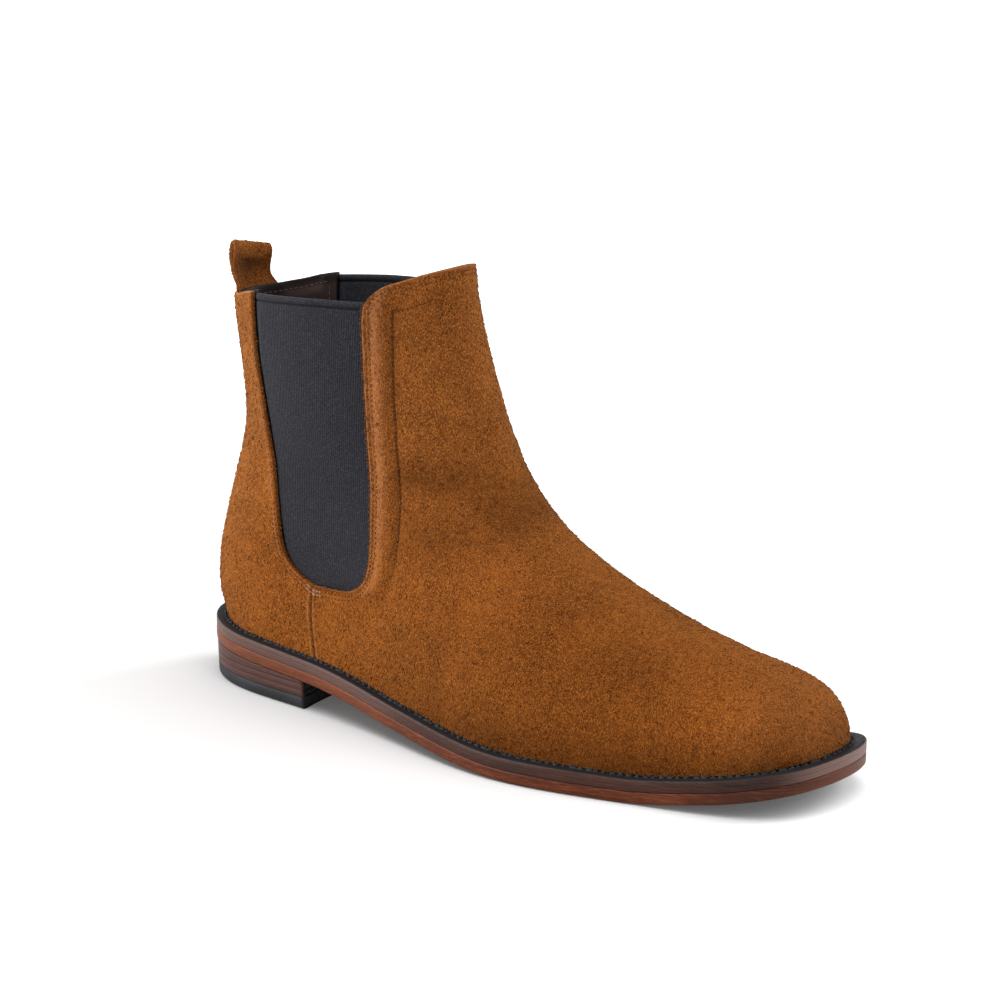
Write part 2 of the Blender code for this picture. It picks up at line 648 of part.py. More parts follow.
def looped_strip(name, spine, ply, finish, columns=8):
    """A strip of even thickness that follows a side-view spine and bends round the collar's back."""
    tangent = np.gradient(spine, axis=0)
    tangent /= np.linalg.norm(tangent, axis=1, keepdims=True)
    normal = np.stack([-tangent[:, 1], tangent[:, 0]], -1)
    x = np.linspace(-TAB_WIDTH / 2, TAB_WIDTH / 2, columns + 1)
    layers = []
    for offset in (-ply / 2, ply / 2):
        line = spine + normal * offset
        bend = TAB_BEND + (TAB_TOP_BEND - TAB_BEND) * fade(line[:, 1:], TAB_PIVOT_Z, TAB_TOP)
        bow = bend - np.sqrt(bend**2 - x**2)
        rise = TAB_FOOT_RISE * (2 * x / TAB_WIDTH)**2 * fade(line[:, 1:], TAB_TOP, TAB_PIVOT_Z)
        layers.append(np.stack(np.broadcast_arrays(x[None], line[:, :1] + bow, line[:, 1:] + rise), -1))
    rows, across = layers[0].shape[:2]
    numbers = np.arange(2 * rows * across).reshape(2, rows, across)
    faces = []
    for layer in numbers:
        for i in range(rows - 1):
            for j in range(across - 1):
                a, b, c, d = layer[i, j], layer[i, j + 1], layer[i + 1, j + 1], layer[i + 1, j]
                faces += [(a, b, c), (a, c, d)]
    rim = [numbers[:, 0, :], numbers[:, -1, ::-1], numbers[:, ::-1, 0], numbers[:, :, -1]]
    for near, far in rim:
        for i in range(len(near) - 1):
            faces += [(near[i], near[i + 1], far[i + 1]), (near[i], far[i + 1], far[i])]
    return add_mesh(name, np.concatenate([g.reshape(-1, 3) for g in layers]), faces, finish)


def build_tab(parent):
    """The sewn-in end of the pull tab, and the loop above it on its own hinge empty."""
    sewn = pattern("tab_pattern", TAB_SEWN, -TAB_WIDTH / 2, TAB_WIDTH / 2)
    cut(shell("pull_tab_root", BETWEEN, "suede", parent), sewn, "INTERSECT")

    seam = float(back_line(TAB_PIVOT_Z)) + sum(BETWEEN) / 2
    hinge = bpy.data.objects.new("pull_tab_hinge", None)
    bpy.context.scene.collection.objects.link(hinge)
    hinge.location = to_world((0, seam + TAB_PIVOT_AHEAD, TAB_PIVOT_Z))
    hinge.parent = parent
    low = TAB_PIVOT_Z - TAB_FOOT_BELOW_PIVOT
    loop = [(seam + ahead, low + (TAB_TOP - low) * share) for ahead, share in TAB_LOOP]
    tab = looped_strip("pull_tab", path(loop, 26), TAB_PLY, "suede")
    bpy.context.view_layer.update()
    tab.parent = hinge
    tab.matrix_parent_inverse = hinge.matrix_world.inverted()


def main():
    for obj in list(bpy.data.objects):
        bpy.data.objects.remove(obj)
    boot = bpy.data.objects.new("boot", None)
    bpy.context.scene.collection.objects.link(boot)
    outsole, midsole = build_sole(boot)
    cork, insole = build_filling(boot)
    heel = build_heel(boot)
    build_fasteners(boot, cork, insole, outsole, midsole, heel)
    build_upper(boot)
    build_tab(boot)


main()
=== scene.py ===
"""Looks of the suede chelsea boot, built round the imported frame.

Lengths are in the boot's own millimetres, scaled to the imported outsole. A place is x (medial is +), t
(forward of the sole's back end) and z (above the floor).
"""

import json
import math

import bpy
import numpy as np
from mathutils import Matrix, Vector
from mathutils.bvhtree import BVHTree


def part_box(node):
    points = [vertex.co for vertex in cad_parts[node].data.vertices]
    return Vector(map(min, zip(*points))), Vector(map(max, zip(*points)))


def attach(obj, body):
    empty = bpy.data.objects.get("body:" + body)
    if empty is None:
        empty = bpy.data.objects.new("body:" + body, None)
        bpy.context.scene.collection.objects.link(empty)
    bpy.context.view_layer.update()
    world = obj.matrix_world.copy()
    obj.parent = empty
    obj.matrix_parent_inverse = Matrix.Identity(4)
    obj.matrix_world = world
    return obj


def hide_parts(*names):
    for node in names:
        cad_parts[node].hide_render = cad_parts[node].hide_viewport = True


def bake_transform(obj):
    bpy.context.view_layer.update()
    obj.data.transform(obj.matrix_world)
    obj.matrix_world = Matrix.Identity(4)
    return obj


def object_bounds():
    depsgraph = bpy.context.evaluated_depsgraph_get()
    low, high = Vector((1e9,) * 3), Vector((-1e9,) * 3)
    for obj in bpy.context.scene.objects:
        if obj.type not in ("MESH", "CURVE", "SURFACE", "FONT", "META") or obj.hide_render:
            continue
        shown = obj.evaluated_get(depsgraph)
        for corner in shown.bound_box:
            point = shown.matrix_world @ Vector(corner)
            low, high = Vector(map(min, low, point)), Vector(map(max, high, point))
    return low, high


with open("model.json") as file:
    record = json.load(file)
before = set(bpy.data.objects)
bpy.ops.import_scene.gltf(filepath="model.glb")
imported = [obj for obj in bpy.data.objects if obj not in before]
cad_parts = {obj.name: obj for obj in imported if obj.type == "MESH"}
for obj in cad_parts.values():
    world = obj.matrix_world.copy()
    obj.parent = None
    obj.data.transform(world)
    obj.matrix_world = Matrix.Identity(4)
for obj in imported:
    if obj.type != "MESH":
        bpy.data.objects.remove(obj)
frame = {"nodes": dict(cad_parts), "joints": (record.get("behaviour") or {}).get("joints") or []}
cad_bounds = [list(corner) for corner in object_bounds()]
outsole_low, outsole_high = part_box("outsole")

SOLE_LENGTH = 305.0
SOLE_END_FACET = 0.145
MM = (outsole_high.y - outsole_low.y) / (SOLE_LENGTH - 2 * SOLE_END_FACET)
BACK_Y = outsole_high.y + SOLE_END_FACET * MM
FLOOR_Z = cad_bounds[0][2]

# Plan of the sole: the reach of each side at distances forward of the back end.
PLAN_T = (0, 9, 30, 61, 100, 140, 177, 214, 241, 265, 287, 300.5, SOLE_LENGTH)
LATERAL_REACH = (0, 18.9, 31.5, 36.4, 41.3, 50.1, 56.5, 52.8, 46, 40, 31.7, 18.5, -3.2)
MEDIAL_REACH = (0, 17.8, 31.3, 32.1, 30.3, 31.2, 38.1, 43.2, 43.6, 41.9, 38.5, 25, 3.2)
WELT_MARGIN = 4.9
TOE_MARGIN = 6.3
SOLE_THICKNESS = 9.6
HEEL_LENGTH = 72.0
HEEL_INSET = 0.3
HEEL_TAPER = 0.6
BREAST_HOLLOW = 4.0
HEEL_BREAST_POINTS = 41

# Side view: underside of the outsole, back of the heel and shaft, ridge from toe tip to collar.
UNDERSIDE = ((0, 15), (78, 11.2), (130, 5), (195, 0), (235, 0), (270, 3.8), (SOLE_LENGTH, 10.8))
BACK_LINE = ((24.5, 4.7), (33, 1.3), (42, 0.5), (60, 2.6), (85, 9.4), (112, 16), (140, 13.2), (172, 9.1))
RIDGE = (
    (298.3, 19.6), (296.5, 25.5), (293.2, 33), (288.5, 40.1), (278.5, 46.2), (258, 51.1), (229.4, 58.4),
    (198.3, 71.5), (169.6, 87.7), (149.3, 108.6), (138.4, 132.6), (130.8, 154.4), (126.6, 173.6),
    (125.8, 192),
)
SHAFT_HALF_WIDTH = ((60, 32.5), (90, 32), (120, 33.8), (145, 33.5), (165, 33), (192, 30.6))
FOOT_TO_SHAFT = (45.0, 115.0)
CENTRE_TO_SHAFT = (40.0, 110.0)
ROUNDING = 2.35
OVAL = 1.85

# Side view (t, z) of the patterns.
SEAM = ((75.7, 20.0), (73.8, 30.7), (73.0, 39.0), (74.0, 51.4))
GORE_BACK = (
    (37.8, 166.4), (37.9, 152), (39.4, 136.4), (42.2, 124), (45.3, 110.4), (48.4, 97.4), (50.6, 84.3),
    (52.9, 72.3), (56.3, 62.6), (61, 57.4), (68, 53.6), (74, 51.4),
)
GORE_FRONT = (
    (74, 51.4), (82.4, 51.7), (91, 52.5), (98.3, 54.8), (102.8, 59.3), (105, 66), (104.9, 77.2),
    (103.4, 91.8), (102.1, 106.8), (100.8, 121.7), (99, 137.4), (97.2, 153), (96.4, 162.8), (96.8, 167.7),
    (99.2, 172.2),
)
GORE_TOP = ((30, 164.7), (38, 165.5), (60.9, 167.6), (76.8, 168.7), (97, 169.4), (110, 169.9))
COLLAR_BACK = ((10, 160.3), (24, 162.8), (34.4, 165.8), (37.8, 166.4))
COLLAR_FRONT = ((99.2, 172.2), (103.8, 176), (108.2, 177.8), (116.9, 181), (126.4, 183.8))
FACING_SEAM = (
    (113.2, 52.1), (117, 59), (119, 67.4), (119, 79), (117, 93.9), (114.8, 107.3), (112.7, 123),
    (110.7, 138.5), (109.1, 154), (108.6, 159.8), (107.9, 166.8),
)
FACING_SEAM_TOP = ((107.9, 166.8), (112.4, 167.6), (116.5, 169.4), (120.4, 171.4))
# Line of the ankle's bend, along which shading() lays painted shade.
ANKLE_CREASE = ((122, 103), (132, 103.5), (142, 102.5), (152, 97), (161, 89.5))

# Suede panels. Depths are below the upper's outer face, steps and rows are distances from an edge.
SUEDE = 1.5
SEAM_GAP = 0.3
EDGE_STEPS = np.array((0.0, 0.12, 0.28, 0.48, 0.72, 1.05, 1.5))
STITCH_ROWS = (1.7, 3.4)
SEAM_ROW = 1.35
FIBRES_PER_MM2 = 0.5
FRINGE_SHARE = 0.05
FIBRE_LENGTH = (0.6, 1.9)
FIBRE_RISE = (0.12, 0.6)
FIBRE_HALF_WIDTH = (0.07, 0.13)
FIBRE_ROOT = 0.25

# Elastic, lining and pull tab.
ELASTIC_DEPTH = (1.85, 3.0)
RIB_PITCH = 1.05
GORE_BOTTOM = 48.0
GORE_LAP = 4.5
GORE_HEM = 2.8
LINING_DEPTH = 3.35
LINING_THICKNESS = 1.0
LINING_ROW = 3.2
TAB_WIDTH = 25.0
TAB_PLY = 1.2
TAB_TWIST = 0.2
TAB_TILT = 0.2
TAB_SEAM_HEIGHT = 163.6
TAB_BLEND = (160.5, 167.0)

# Bottom: (inset, height above the underside) round each layer's edge, and the heel's levels. The top lift
# follows the underside, so HEEL_TOP_LEVEL stands for its top where the taper is worked out.
RING_POINTS = 360
HEEL_RING_POINTS = 200
OUTSOLE_EDGE = ((1.3, 0.0), (0.45, 0.1), (0.08, 0.5), (0, 1.2), (0, 4.0), (0.12, 4.5), (0.5, 4.7))
MIDSOLE_EDGE = ((0.35, 4.84), (0.1, 4.94), (0.02, 5.2), (0.02, 6.9), (0.04, 7.16), (0.15, 7.22))
WELT_EDGE = (
    (0.15, 7.25), (0.04, 7.3), (0.0, 7.6), (0.05, 9.0), (0.35, 9.45), (0.9, SOLE_THICKNESS),
    (10.9, SOLE_THICKNESS), (10.9, 7.25),
)
HEEL_LIFTS = ((5.1, 7.6), (7.7, 10.3))
HEEL_SEAT_LEVEL = 10.4
HEEL_TOP_GAP = 0.08
HEEL_TOP_LEVEL = 13.0
HEEL_TAPER_HEIGHT = 15.0
TOP_PIECE = 5.0
LIFT_SOFTNESS = 0.07

# Room. The floor's size and gap and the lamps' distance are in metres.
FLOOR_REACH = 12.0
FLOOR_GAP = 0.0002
LAMP_DISTANCE = 1.8
CAMERA_TARGET = (44.64, 108.78, 77.28)
CAMERA_DISTANCE = 1456.3
CAMERA_ANGLES = (-52.215, 14.713)
CAMERA_ROLL = 0.51
CAMERA_LENS = 127.7


# ---- curves

def smooth(points):
    """Natural cubic spline y(x) through (x, y) points."""
    xk, yk = (np.array(c, float) for c in zip(*points))
    n, h = len(xk), np.diff(xk)
    system, right = np.eye(n), np.zeros(n)
    for i in range(1, n - 1):
        system[i, i - 1:i + 2] = h[i - 1], 2 * (h[i - 1] + h[i]), h[i]
        right[i] = 6 * ((yk[i + 1] - yk[i]) / h[i] - (yk[i] - yk[i - 1]) / h[i - 1])
    bend = np.linalg.solve(system, right)

    def value(x):
        x = np.asarray(x, float)
        i = np.clip(np.searchsorted(xk, x) - 1, 0, n - 2)
        a, b, w = xk[i + 1] - x, x - xk[i], h[i]
        cubic = (bend[i] * a**3 + bend[i + 1] * b**3) / (6 * w)
        return cubic + (yk[i] / w - bend[i] * w / 6) * a + (yk[i + 1] / w - bend[i + 1] * w / 6) * b

    return value


def monotone(points):
    """Cubic y(x) through (x, y) points that never overshoots them."""
    xk, yk = (np.array(c, float) for c in zip(*points))
    h, rise = np.diff(xk), np.diff(yk) / np.diff(xk)
    slope = np.concatenate([rise[:1], np.zeros(len(xk) - 2), rise[-1:]])
    for i in range(1, len(xk) - 1):
        if rise[i - 1] * rise[i] > 0:
            w1, w2 = 2 * h[i] + h[i - 1], h[i] + 2 * h[i - 1]
            slope[i] = (w1 + w2) / (w1 / rise[i - 1] + w2 / rise[i])

    def value(x):
        x = np.clip(np.asarray(x, float), xk[0], xk[-1])
        i = np.clip(np.searchsorted(xk, x) - 1, 0, len(xk) - 2)
        s = (x - xk[i]) / h[i]
        start, end = 2 * s**3 - 3 * s**2 + 1, 3 * s**2 - 2 * s**3
        lean_in, lean_out = s**3 - 2 * s**2 + s, s**3 - s**2
        return start * yk[i] + end * yk[i + 1] + h[i] * (lean_in * slope[i] + lean_out * slope[i + 1])

    return value


def arc_length(points):
    """Distance walked down the rows of a line or grid of points, at each of them."""
    steps = np.linalg.norm(np.diff(points, axis=0), axis=-1)
    return np.concatenate([np.zeros_like(steps[:1]), np.cumsum(steps, 0)])


def curve(points):
    """A function of 0..1 that walks a smooth curve through points of any dimension."""
    p = np.array(points, float)
    along = arc_length(p)
    parts = [smooth(list(zip(along, p[:, k]))) for k in range(p.shape[1])]
    return lambda s: np.stack([part(np.asarray(s, float) * along[-1]) for part in parts], -1)


def fade(value, start, end):
    """0 before start, 1 after end, smooth between."""
    s = np.clip((np.asarray(value, float) - start) / (end - start), 0, 1)
    return s * s * (3 - 2 * s)


def groove(distance, place, width):
    """1 at a place, falling to 0 round it."""
    return np.exp(-(((distance - place) / width) ** 2))


def unit(vectors):
    """Vectors scaled to length 1."""
    return vectors / np.maximum(np.linalg.norm(vectors, axis=-1, keepdims=True), 1e-9)


# ---- shape of the sole and upper

def turn(t):
    """The angle at which the plan's outline reaches distance t on its lateral side."""
    return np.arccos(1 - 2 * np.asarray(t, float) / SOLE_LENGTH)


lateral_reach = smooth(list(zip(turn(PLAN_T), LATERAL_REACH)))
medial_reach = smooth(list(zip(turn(PLAN_T), MEDIAL_REACH)))
underside = monotone(UNDERSIDE)


def plan(angles, inset):
    """(x, t) of the sole's outline moved in by inset: from the back, lateral side first, round the toe."""
    def edge(a):
        a = np.mod(a, 2 * math.pi)
        side = np.where(a <= math.pi, a, 2 * math.pi - a)
        x = np.where(a <= math.pi, -lateral_reach(side), medial_reach(side))
        return np.stack([x, SOLE_LENGTH * (1 - np.cos(a)) / 2], -1)

    angles = np.asarray(angles, float)
    tangent = unit(edge(angles + 1e-3) - edge(angles - 1e-3))
    inward = np.stack([tangent[..., 1], -tangent[..., 0]], -1)
    return edge(angles) + inward * np.asarray(inset, float)[..., None]


def welt_top(t):
    """Height of the welt's upper face."""
    return underside(t) + SOLE_THICKNESS


def feather(angles, inset=0.0):
    """Where the upper meets the welt, moved inwards by inset."""
    toe = fade(SOLE_LENGTH * (1 - np.cos(angles)) / 2, 230, 300)
    return plan(angles, WELT_MARGIN + (TOE_MARGIN - WELT_MARGIN) * toe + inset)


back_line = smooth(BACK_LINE)
shaft_half_width = monotone(SHAFT_HALF_WIDTH)
ridge = curve(RIDGE)
ridge_t, ridge_z = ridge(np.linspace(0, 1, 600)).T
_half_turns = np.linspace(0, math.pi, 400)
_feather_lateral = feather(_half_turns)
_feather_medial = feather(2 * math.pi - _half_turns)
FEATHER_BACK, FEATHER_TOE = _feather_lateral[0, 1], _feather_lateral[-1, 1]


def foot_edges(t):
    """Lateral and medial x of the feather line at distance t."""
    lateral = np.interp(t, _feather_lateral[:, 1], _feather_lateral[:, 0])
    medial = np.interp(t, _feather_medial[:, 1], _feather_medial[:, 0])
    return lateral, medial


def centre_and_half_width(t, z):
    """Middle and half width of the upper where the side view shows the place (t, z)."""
    behind, ahead = back_line(z), np.interp(z, ridge_z, ridge_t)
    stretch = np.clip((60 - t) / (60 - FEATHER_BACK), 0, 1)
    lateral, medial = foot_edges(t + (FEATHER_BACK - behind) * stretch)
    above = np.interp(t, ridge_t[::-1], ridge_z[::-1]) + 8 * np.maximum(ridge_t[-1] - t, 0)
    climb = np.clip((z - welt_top(t)) / np.maximum(above - welt_top(t), 1), 0, 1)
    foot = (medial - lateral) / 2 * np.sqrt(1 - climb**ROUNDING)
    across = np.abs(np.clip((t - behind) / (ahead - behind), 0, 1) * 2 - 1)
    shaft = shaft_half_width(z) * np.sqrt(1 - across**OVAL)
    share = fade(z, *FOOT_TO_SHAFT)
    middle = (medial + lateral) / 2 * (1 - fade(z, *CENTRE_TO_SHAFT))
    return middle, foot * (1 - share) + shaft * share


def on_upper(tz, side):
    """(x, t, z) on the upper's outer face of side-view places, on the lateral (-1) or medial (1) side."""
    middle, half = centre_and_half_width(tz[..., 0], tz[..., 1])
    return np.stack([middle + side * half, tz[..., 0], tz[..., 1]], -1)


def face_normals(tz, side):
    """Unit normals of the upper's outer face at side-view places on one side, from its slopes."""
    step = 0.2
    moved = [on_upper(tz + move, side) - on_upper(tz - move, side) for move in np.eye(2) * step]
    slope_t, slope_z = (change[..., 0] / (2 * step) for change in moved)
    return unit(np.stack([np.ones_like(slope_t), -slope_t, -slope_z], -1) * side)


# ---- noise and meshes

def grain(points, size, seed):
    """Smooth random values between -1 and 1 with lumps of about the given size."""
    q = points / size + 31.7 * (seed + 1)
    cell = np.floor(q).astype(np.int64)
    f = q - cell
    f = f * f * (3 - 2 * f)
    total = np.zeros(points.shape[:-1])
    for corner in range(8):
        step = np.array([corner & 1, corner >> 1 & 1, corner >> 2])
        c = cell + step
        h = (c[..., 0] * 73856093) ^ (c[..., 1] * 19349663) ^ (c[..., 2] * 83492791)
        h = ((h ^ (h >> 13)) * 1274126177) & 0xFFFFFFFF
        h = ((h ^ (h >> 15)) * 2246822519) & 0xFFFFFFFF
        weight = np.prod(np.where(step, f, 1 - f), axis=-1)
        total += weight * ((h >> 8 & 0xFFFF) / 32767.5 - 1)
    return total


def to_world(points):
    """(x, t, z) in millimetres to the row frame in metres."""
    p = np.asarray(points, float)
    return np.stack([p[..., 0] * MM, BACK_Y - p[..., 1] * MM, FLOOR_Z + p[..., 2] * MM], -1)


def new_object(name, data):
    """An object with this data, placed in the scene."""
    obj = bpy.data.objects.new(name, data)
    bpy.context.scene.collection.objects.link(obj)
    return obj


def add_piece(name, vertices, faces, material, nodes=(), body="boot", slot=None, values=None):
    """A mesh piece from (x, t, z) vertices and faces that rides a body and stands for CAD nodes."""
    mesh = bpy.data.meshes.new(name)
    faces = np.asarray(faces, np.int32)
    mesh.vertices.add(len(vertices))
    mesh.vertices.foreach_set("co", to_world(vertices).astype(np.float32).ravel())
    mesh.loops.add(faces.size)
    mesh.loops.foreach_set("vertex_index", faces.ravel())
    mesh.polygons.add(len(faces))
    mesh.polygons.foreach_set("loop_start", np.arange(0, faces.size, faces.shape[1], dtype=np.int32))
    mesh.update(calc_edges=True)
    mesh.validate()
    for key, data in (values or {}).items():
        mesh.attributes.new(key, "FLOAT", "POINT").data.foreach_set("value", np.asarray(data, np.float32))
    mesh.shade_smooth()
    mesh.materials.append(material)
    obj = new_object(name, mesh)
    if body:
        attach(obj, body)
    if nodes:
        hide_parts(*nodes)
    return obj


def grid_quads(rows, columns, start=0, closed=False):
    """Quads of a rows by columns grid of vertices, joined round if closed."""
    numbers = np.arange(rows * columns).reshape(rows, columns) + start
    if closed:
        numbers = np.concatenate([numbers, numbers[:, :1]], 1)
    row, following = numbers[:-1], numbers[1:]
    return np.stack([row[:, :-1], row[:, 1:], following[:, 1:], following[:, :-1]], -1).reshape(-1, 4)


def add_sheet(name, outer, inner, material, nodes=(), slot=None, body="boot", **values):
    """A piece that is a closed sheet between two grids of points. Values belong to the grid's points."""
    rows, columns = outer.shape[:2]
    size = rows * columns
    numbers = np.arange(size).reshape(rows, columns)
    rim = np.concatenate([numbers[0], numbers[1:, -1], numbers[-1, -2::-1], numbers[-2:0:-1, 0]])
    following = np.roll(rim, -1)
    wall = np.stack([rim, rim + size, following + size, following], -1)
    faces = np.concatenate([grid_quads(rows, columns), grid_quads(rows, columns, size)[:, ::-1], wall])
    vertices = np.concatenate([outer.reshape(-1, 3), inner.reshape(-1, 3)])
    values = {key: np.tile(value.ravel(), 2) for key, value in values.items()}
    return add_piece(name, vertices, faces, material, nodes, body, slot, values)


def normals(points):
    """Unit normals of a grid, all to one side of it."""
    return unit(np.cross(np.gradient(points, axis=0), np.gradient(points, axis=1)))


def ring_stack(rings, solid=True):
    """Vertices and quads of a body from rings of points: capped at both ends, or closed into a loop."""
    count = len(rings[0])
    vertices = np.concatenate(rings)
    if not solid:
        return vertices, grid_quads(len(rings) + 1, count, closed=True) % len(vertices)
    quads = [grid_quads(len(rings), count, closed=True)]
    for start, flip in ((0, 1), (len(vertices) - count, -1)):
        i = np.arange(count // 2 - 1)
        cap = np.stack([i, i + 1, count - 2 - i, count - 1 - i], -1) + start
        quads.append(cap[:, ::flip])
    return vertices, np.concatenate(quads)


# ---- materials

class Nodes:
    """Short names for building one material's nodes."""

    def __init__(self, name):
        self.material = bpy.data.materials.new(name)
        self.material.use_nodes = True
        self.tree = self.material.node_tree
        self.shader = self.tree.nodes["Principled BSDF"]
        self.place = self.add("ShaderNodeTexCoord", {}, "Object")

    def add(self, kind, inputs, output=0, **settings):
        """One new node with its inputs and settings. Gives back one of its outputs."""
        node = self.tree.nodes.new(kind)
        for key, value in settings.items():
            setattr(node, key, value)
        for key, value in inputs.items():
            self.put(node.inputs[key], value)
        return node.outputs[output]

    def put(self, socket, value):
        if isinstance(value, bpy.types.NodeSocket):
            self.tree.links.new(value, socket)
        else:
            socket.default_value = value

    def set(self, **inputs):
        for key, value in inputs.items():
            self.put(self.shader.inputs[key.replace("_", " ")], value)

    def math(self, operation, a, b):
        return self.add("ShaderNodeMath", {0: a, 1: b}, operation=operation)

    def stretched(self, scale):
        return self.add("ShaderNodeMapping", {"Vector": self.place, "Scale": scale})

    def noise(self, scale, detail, rough, vector=None, distort=0.0):
        inputs = {"Vector": vector or self.place, "Scale": scale, "Detail": detail, "Roughness": rough}
        return self.add("ShaderNodeTexNoise", {**inputs, "Distortion": distort}, "Fac")

    def range(self, value, low, high, to_low=0.0, to_high=1.0):
        inputs = {"Value": value, "From Min": low, "From Max": high, "To Min": to_low, "To Max": to_high}
        return self.add("ShaderNodeMapRange", inputs)

    def mix(self, factor, a, b, blend="MIX"):
        a, b = ((*colour, 1) if isinstance(colour, tuple) else colour for colour in (a, b))
        return self.add("ShaderNodeMix", {0: factor, 6: a, 7: b}, 2, data_type="RGBA", blend_type=blend)

    def layers(self, base, *layers):
        """Colours laid over a base, each with a share that grows as its value goes from low to high."""
        for value, low, high, share, colour in layers:
            base = self.mix(self.range(value, low, high, 0, share), base, colour)
        return base

    def value(self, name):
        return self.add("ShaderNodeAttribute", {}, "Fac", attribute_name=name)

    def upward(self, vector):
        return self.add("ShaderNodeSeparateXYZ", {0: vector}, "Z")

    def bump(self, height, distance, strength):
        return self.add("ShaderNodeBump", {"Height": height, "Distance": distance, "Strength": strength})


def suede_material():
    """Tan suede: mottled nap, browner low on the boot, with painted highlights and painted shade from a
    piece's own values.
    """
    m = Nodes("suede")
    cloud, patch = m.noise(36, 3, 0.6), m.noise(110, 3, 0.65)
    nap = m.noise(1, 2, 0.6, m.stretched((2500, 2500, 1200)))
    speck = m.noise(3600, 2, 0.7)
    deep = (0.044, 0.0115, 0.0025)
    base = m.layers(
        m.mix(m.range(cloud, 0.36, 0.64), (0.110, 0.0285, 0.0050), (0.192, 0.0550, 0.0095)),
        (patch, 0.40, 0.66, 0.35, (0.092, 0.0245, 0.0046)),
        (nap, 0.5, 0.67, 0.9, (0.360, 0.124, 0.0245)),
        (nap, 0.5, 0.33, 0.68, deep),
        (speck, 0.54, 0.72, 0.75, (0.47, 0.190, 0.052)),
        (speck, 0.46, 0.3, 0.45, deep),
    )
    # Painted highlights ('pale') and painted shade ('dark') laid over the nap, besides paler and darker
    # fibres.
    base = m.mix(m.value("pale"), base, (0.38, 0.160, 0.072))
    base = m.mix(m.value("dark"), base, (0.030, 0.0085, 0.0022))
    base = m.mix(m.range(m.upward(m.place), 0.115, 0.055), base, (0.97, 0.90, 0.70), "MULTIPLY")
    height = m.math("ADD", m.math("MULTIPLY", nap, 0.6), m.math("MULTIPLY", speck, 0.4))
    m.set(Base_Color=base, Roughness=0.95, Normal=m.bump(height, 0.0006, 0.9), Specular_IOR_Level=0.03)
    m.set(Sheen_Weight=0.14, Sheen_Roughness=0.4, Sheen_Tint=(1.0, 0.5, 0.16, 1))
    return m.material


def elastic_material():
    """Charcoal ribbed elastic with a cross weave, darkened by painted shade where its value 'dark' is high.
    """
    m = Nodes("elastic")
    weave = m.noise(1, 2, 0.5, m.stretched((900, 900, 2600)))
    cloud, flecks = m.noise(60, 2, 0.5), m.noise(2400, 2, 0.6)
    base = m.layers(
        m.mix(m.value("rib"), (0.0032, 0.0032, 0.0048), (0.0112, 0.0108, 0.0152)),
        (weave, 0.5, 0.72, 0.6, (0.032, 0.0305, 0.0400)),
        (flecks, 0.54, 0.70, 0.65, (0.058, 0.056, 0.070)),
        (flecks, 0.45, 0.3, 0.6, (0.005, 0.005, 0.007)),
        (cloud, 0.4, 0.7, 0.35, (0.008, 0.008, 0.010)),
    )
    # Painted shade from the value 'dark'.
    base = m.mix(m.value("dark"), base, (0.0035, 0.0035, 0.0042))
    m.set(Base_Color=base, Roughness=0.85, Normal=m.bump(weave, 0.0002, 0.6))
    m.set(Sheen_Weight=0.08, Sheen_Roughness=0.4, Specular_IOR_Level=0.15)
    return m.material


def lining_material():
    """Dark brown smooth leather with a fine grain."""
    m = Nodes("lining_leather")
    pores, cloud = m.noise(900, 3, 0.6), m.noise(70, 3, 0.6)
    base = m.mix(m.range(cloud, 0.35, 0.65), (0.015, 0.0085, 0.0080), (0.032, 0.0165, 0.0145))
    base = m.mix(m.value("dark"), base, (0.007, 0.0045, 0.0042))
    m.set(Base_Color=base, Roughness=m.range(pores, 0.3, 0.7, 0.6, 0.8), Specular_IOR_Level=0.25)
    m.set(Normal=m.bump(pores, 0.0002, 0.5))
    return m.material


def edge_material(
    name, dark, light, streak, painted_sheen=(0, 0, 0), along=30.0, up=1600.0, shine=0.12, black_top=False
):
    """Burnished leather edge with streaks that run round the sole, a painted reflection where 'pale' is
    high.
    """
    m = Nodes(name)
    long_streak = m.noise(1, 3, 0.6, m.stretched((along, along, up)), 0.4)
    short_streak = m.noise(1, 3, 0.7, m.stretched((along * 6, along * 6, up * 1.5)), 0.3)
    cloud = m.noise(45, 2, 0.5)
    base = m.layers(
        m.mix(m.range(long_streak, 0.35, 0.65), dark, light),
        (short_streak, 0.5, 0.72, 0.6, streak),
        (cloud, 0.45, 0.7, 0.5, dark),
    )
    # 'pale' lays on the painted reflection; 'dark' darkens the heel's breast and the edge beside the toe.
    for value, colour in (("red", (0.105, 0.026, 0.011)), ("pale", painted_sheen), ("dark", (0.006, 0.006, 0.007))):
        base = m.mix(m.value(value), base, colour)
    if black_top:
        faces_up = m.upward(m.add("ShaderNodeNewGeometry", {}, "Normal"))
        base = m.mix(m.range(faces_up, 0.5, 0.8), base, (0.010, 0.010, 0.011))
    m.set(Base_Color=base, Roughness=m.range(short_streak, 0.3, 0.7, 0.34, 0.57), Specular_IOR_Level=shine)
    m.set(Normal=m.bump(m.math("ADD", long_streak, short_streak), 0.0003, 0.35))
    return m.material


def rubber_material():
    """Black rubber with a faint mould texture."""
    m = Nodes("rubber")
    fine, cloud = m.noise(1200, 3, 0.6), m.noise(80, 2, 0.5)
    base = m.mix(m.range(cloud, 0.3, 0.7), (0.0080, 0.0080, 0.0092), (0.0165, 0.0165, 0.0185))
    m.set(Base_Color=base, Roughness=m.range(fine, 0.3, 0.7, 0.5, 0.75), Specular_IOR_Level=0.25)
    m.set(Normal=m.bump(fine, 0.0002, 0.4))
    return m.material


def thread_material(name, dark, light):
    """Twisted thread."""
    m = Nodes(name)
    fibres = m.noise(3500, 2, 0.6)
    m.set(Base_Color=m.mix(m.range(fibres, 0.35, 0.65), dark, light), Roughness=0.8, Specular_IOR_Level=0.2)
    m.set(Normal=m.bump(fibres, 0.0002, 0.5))
    return m.material


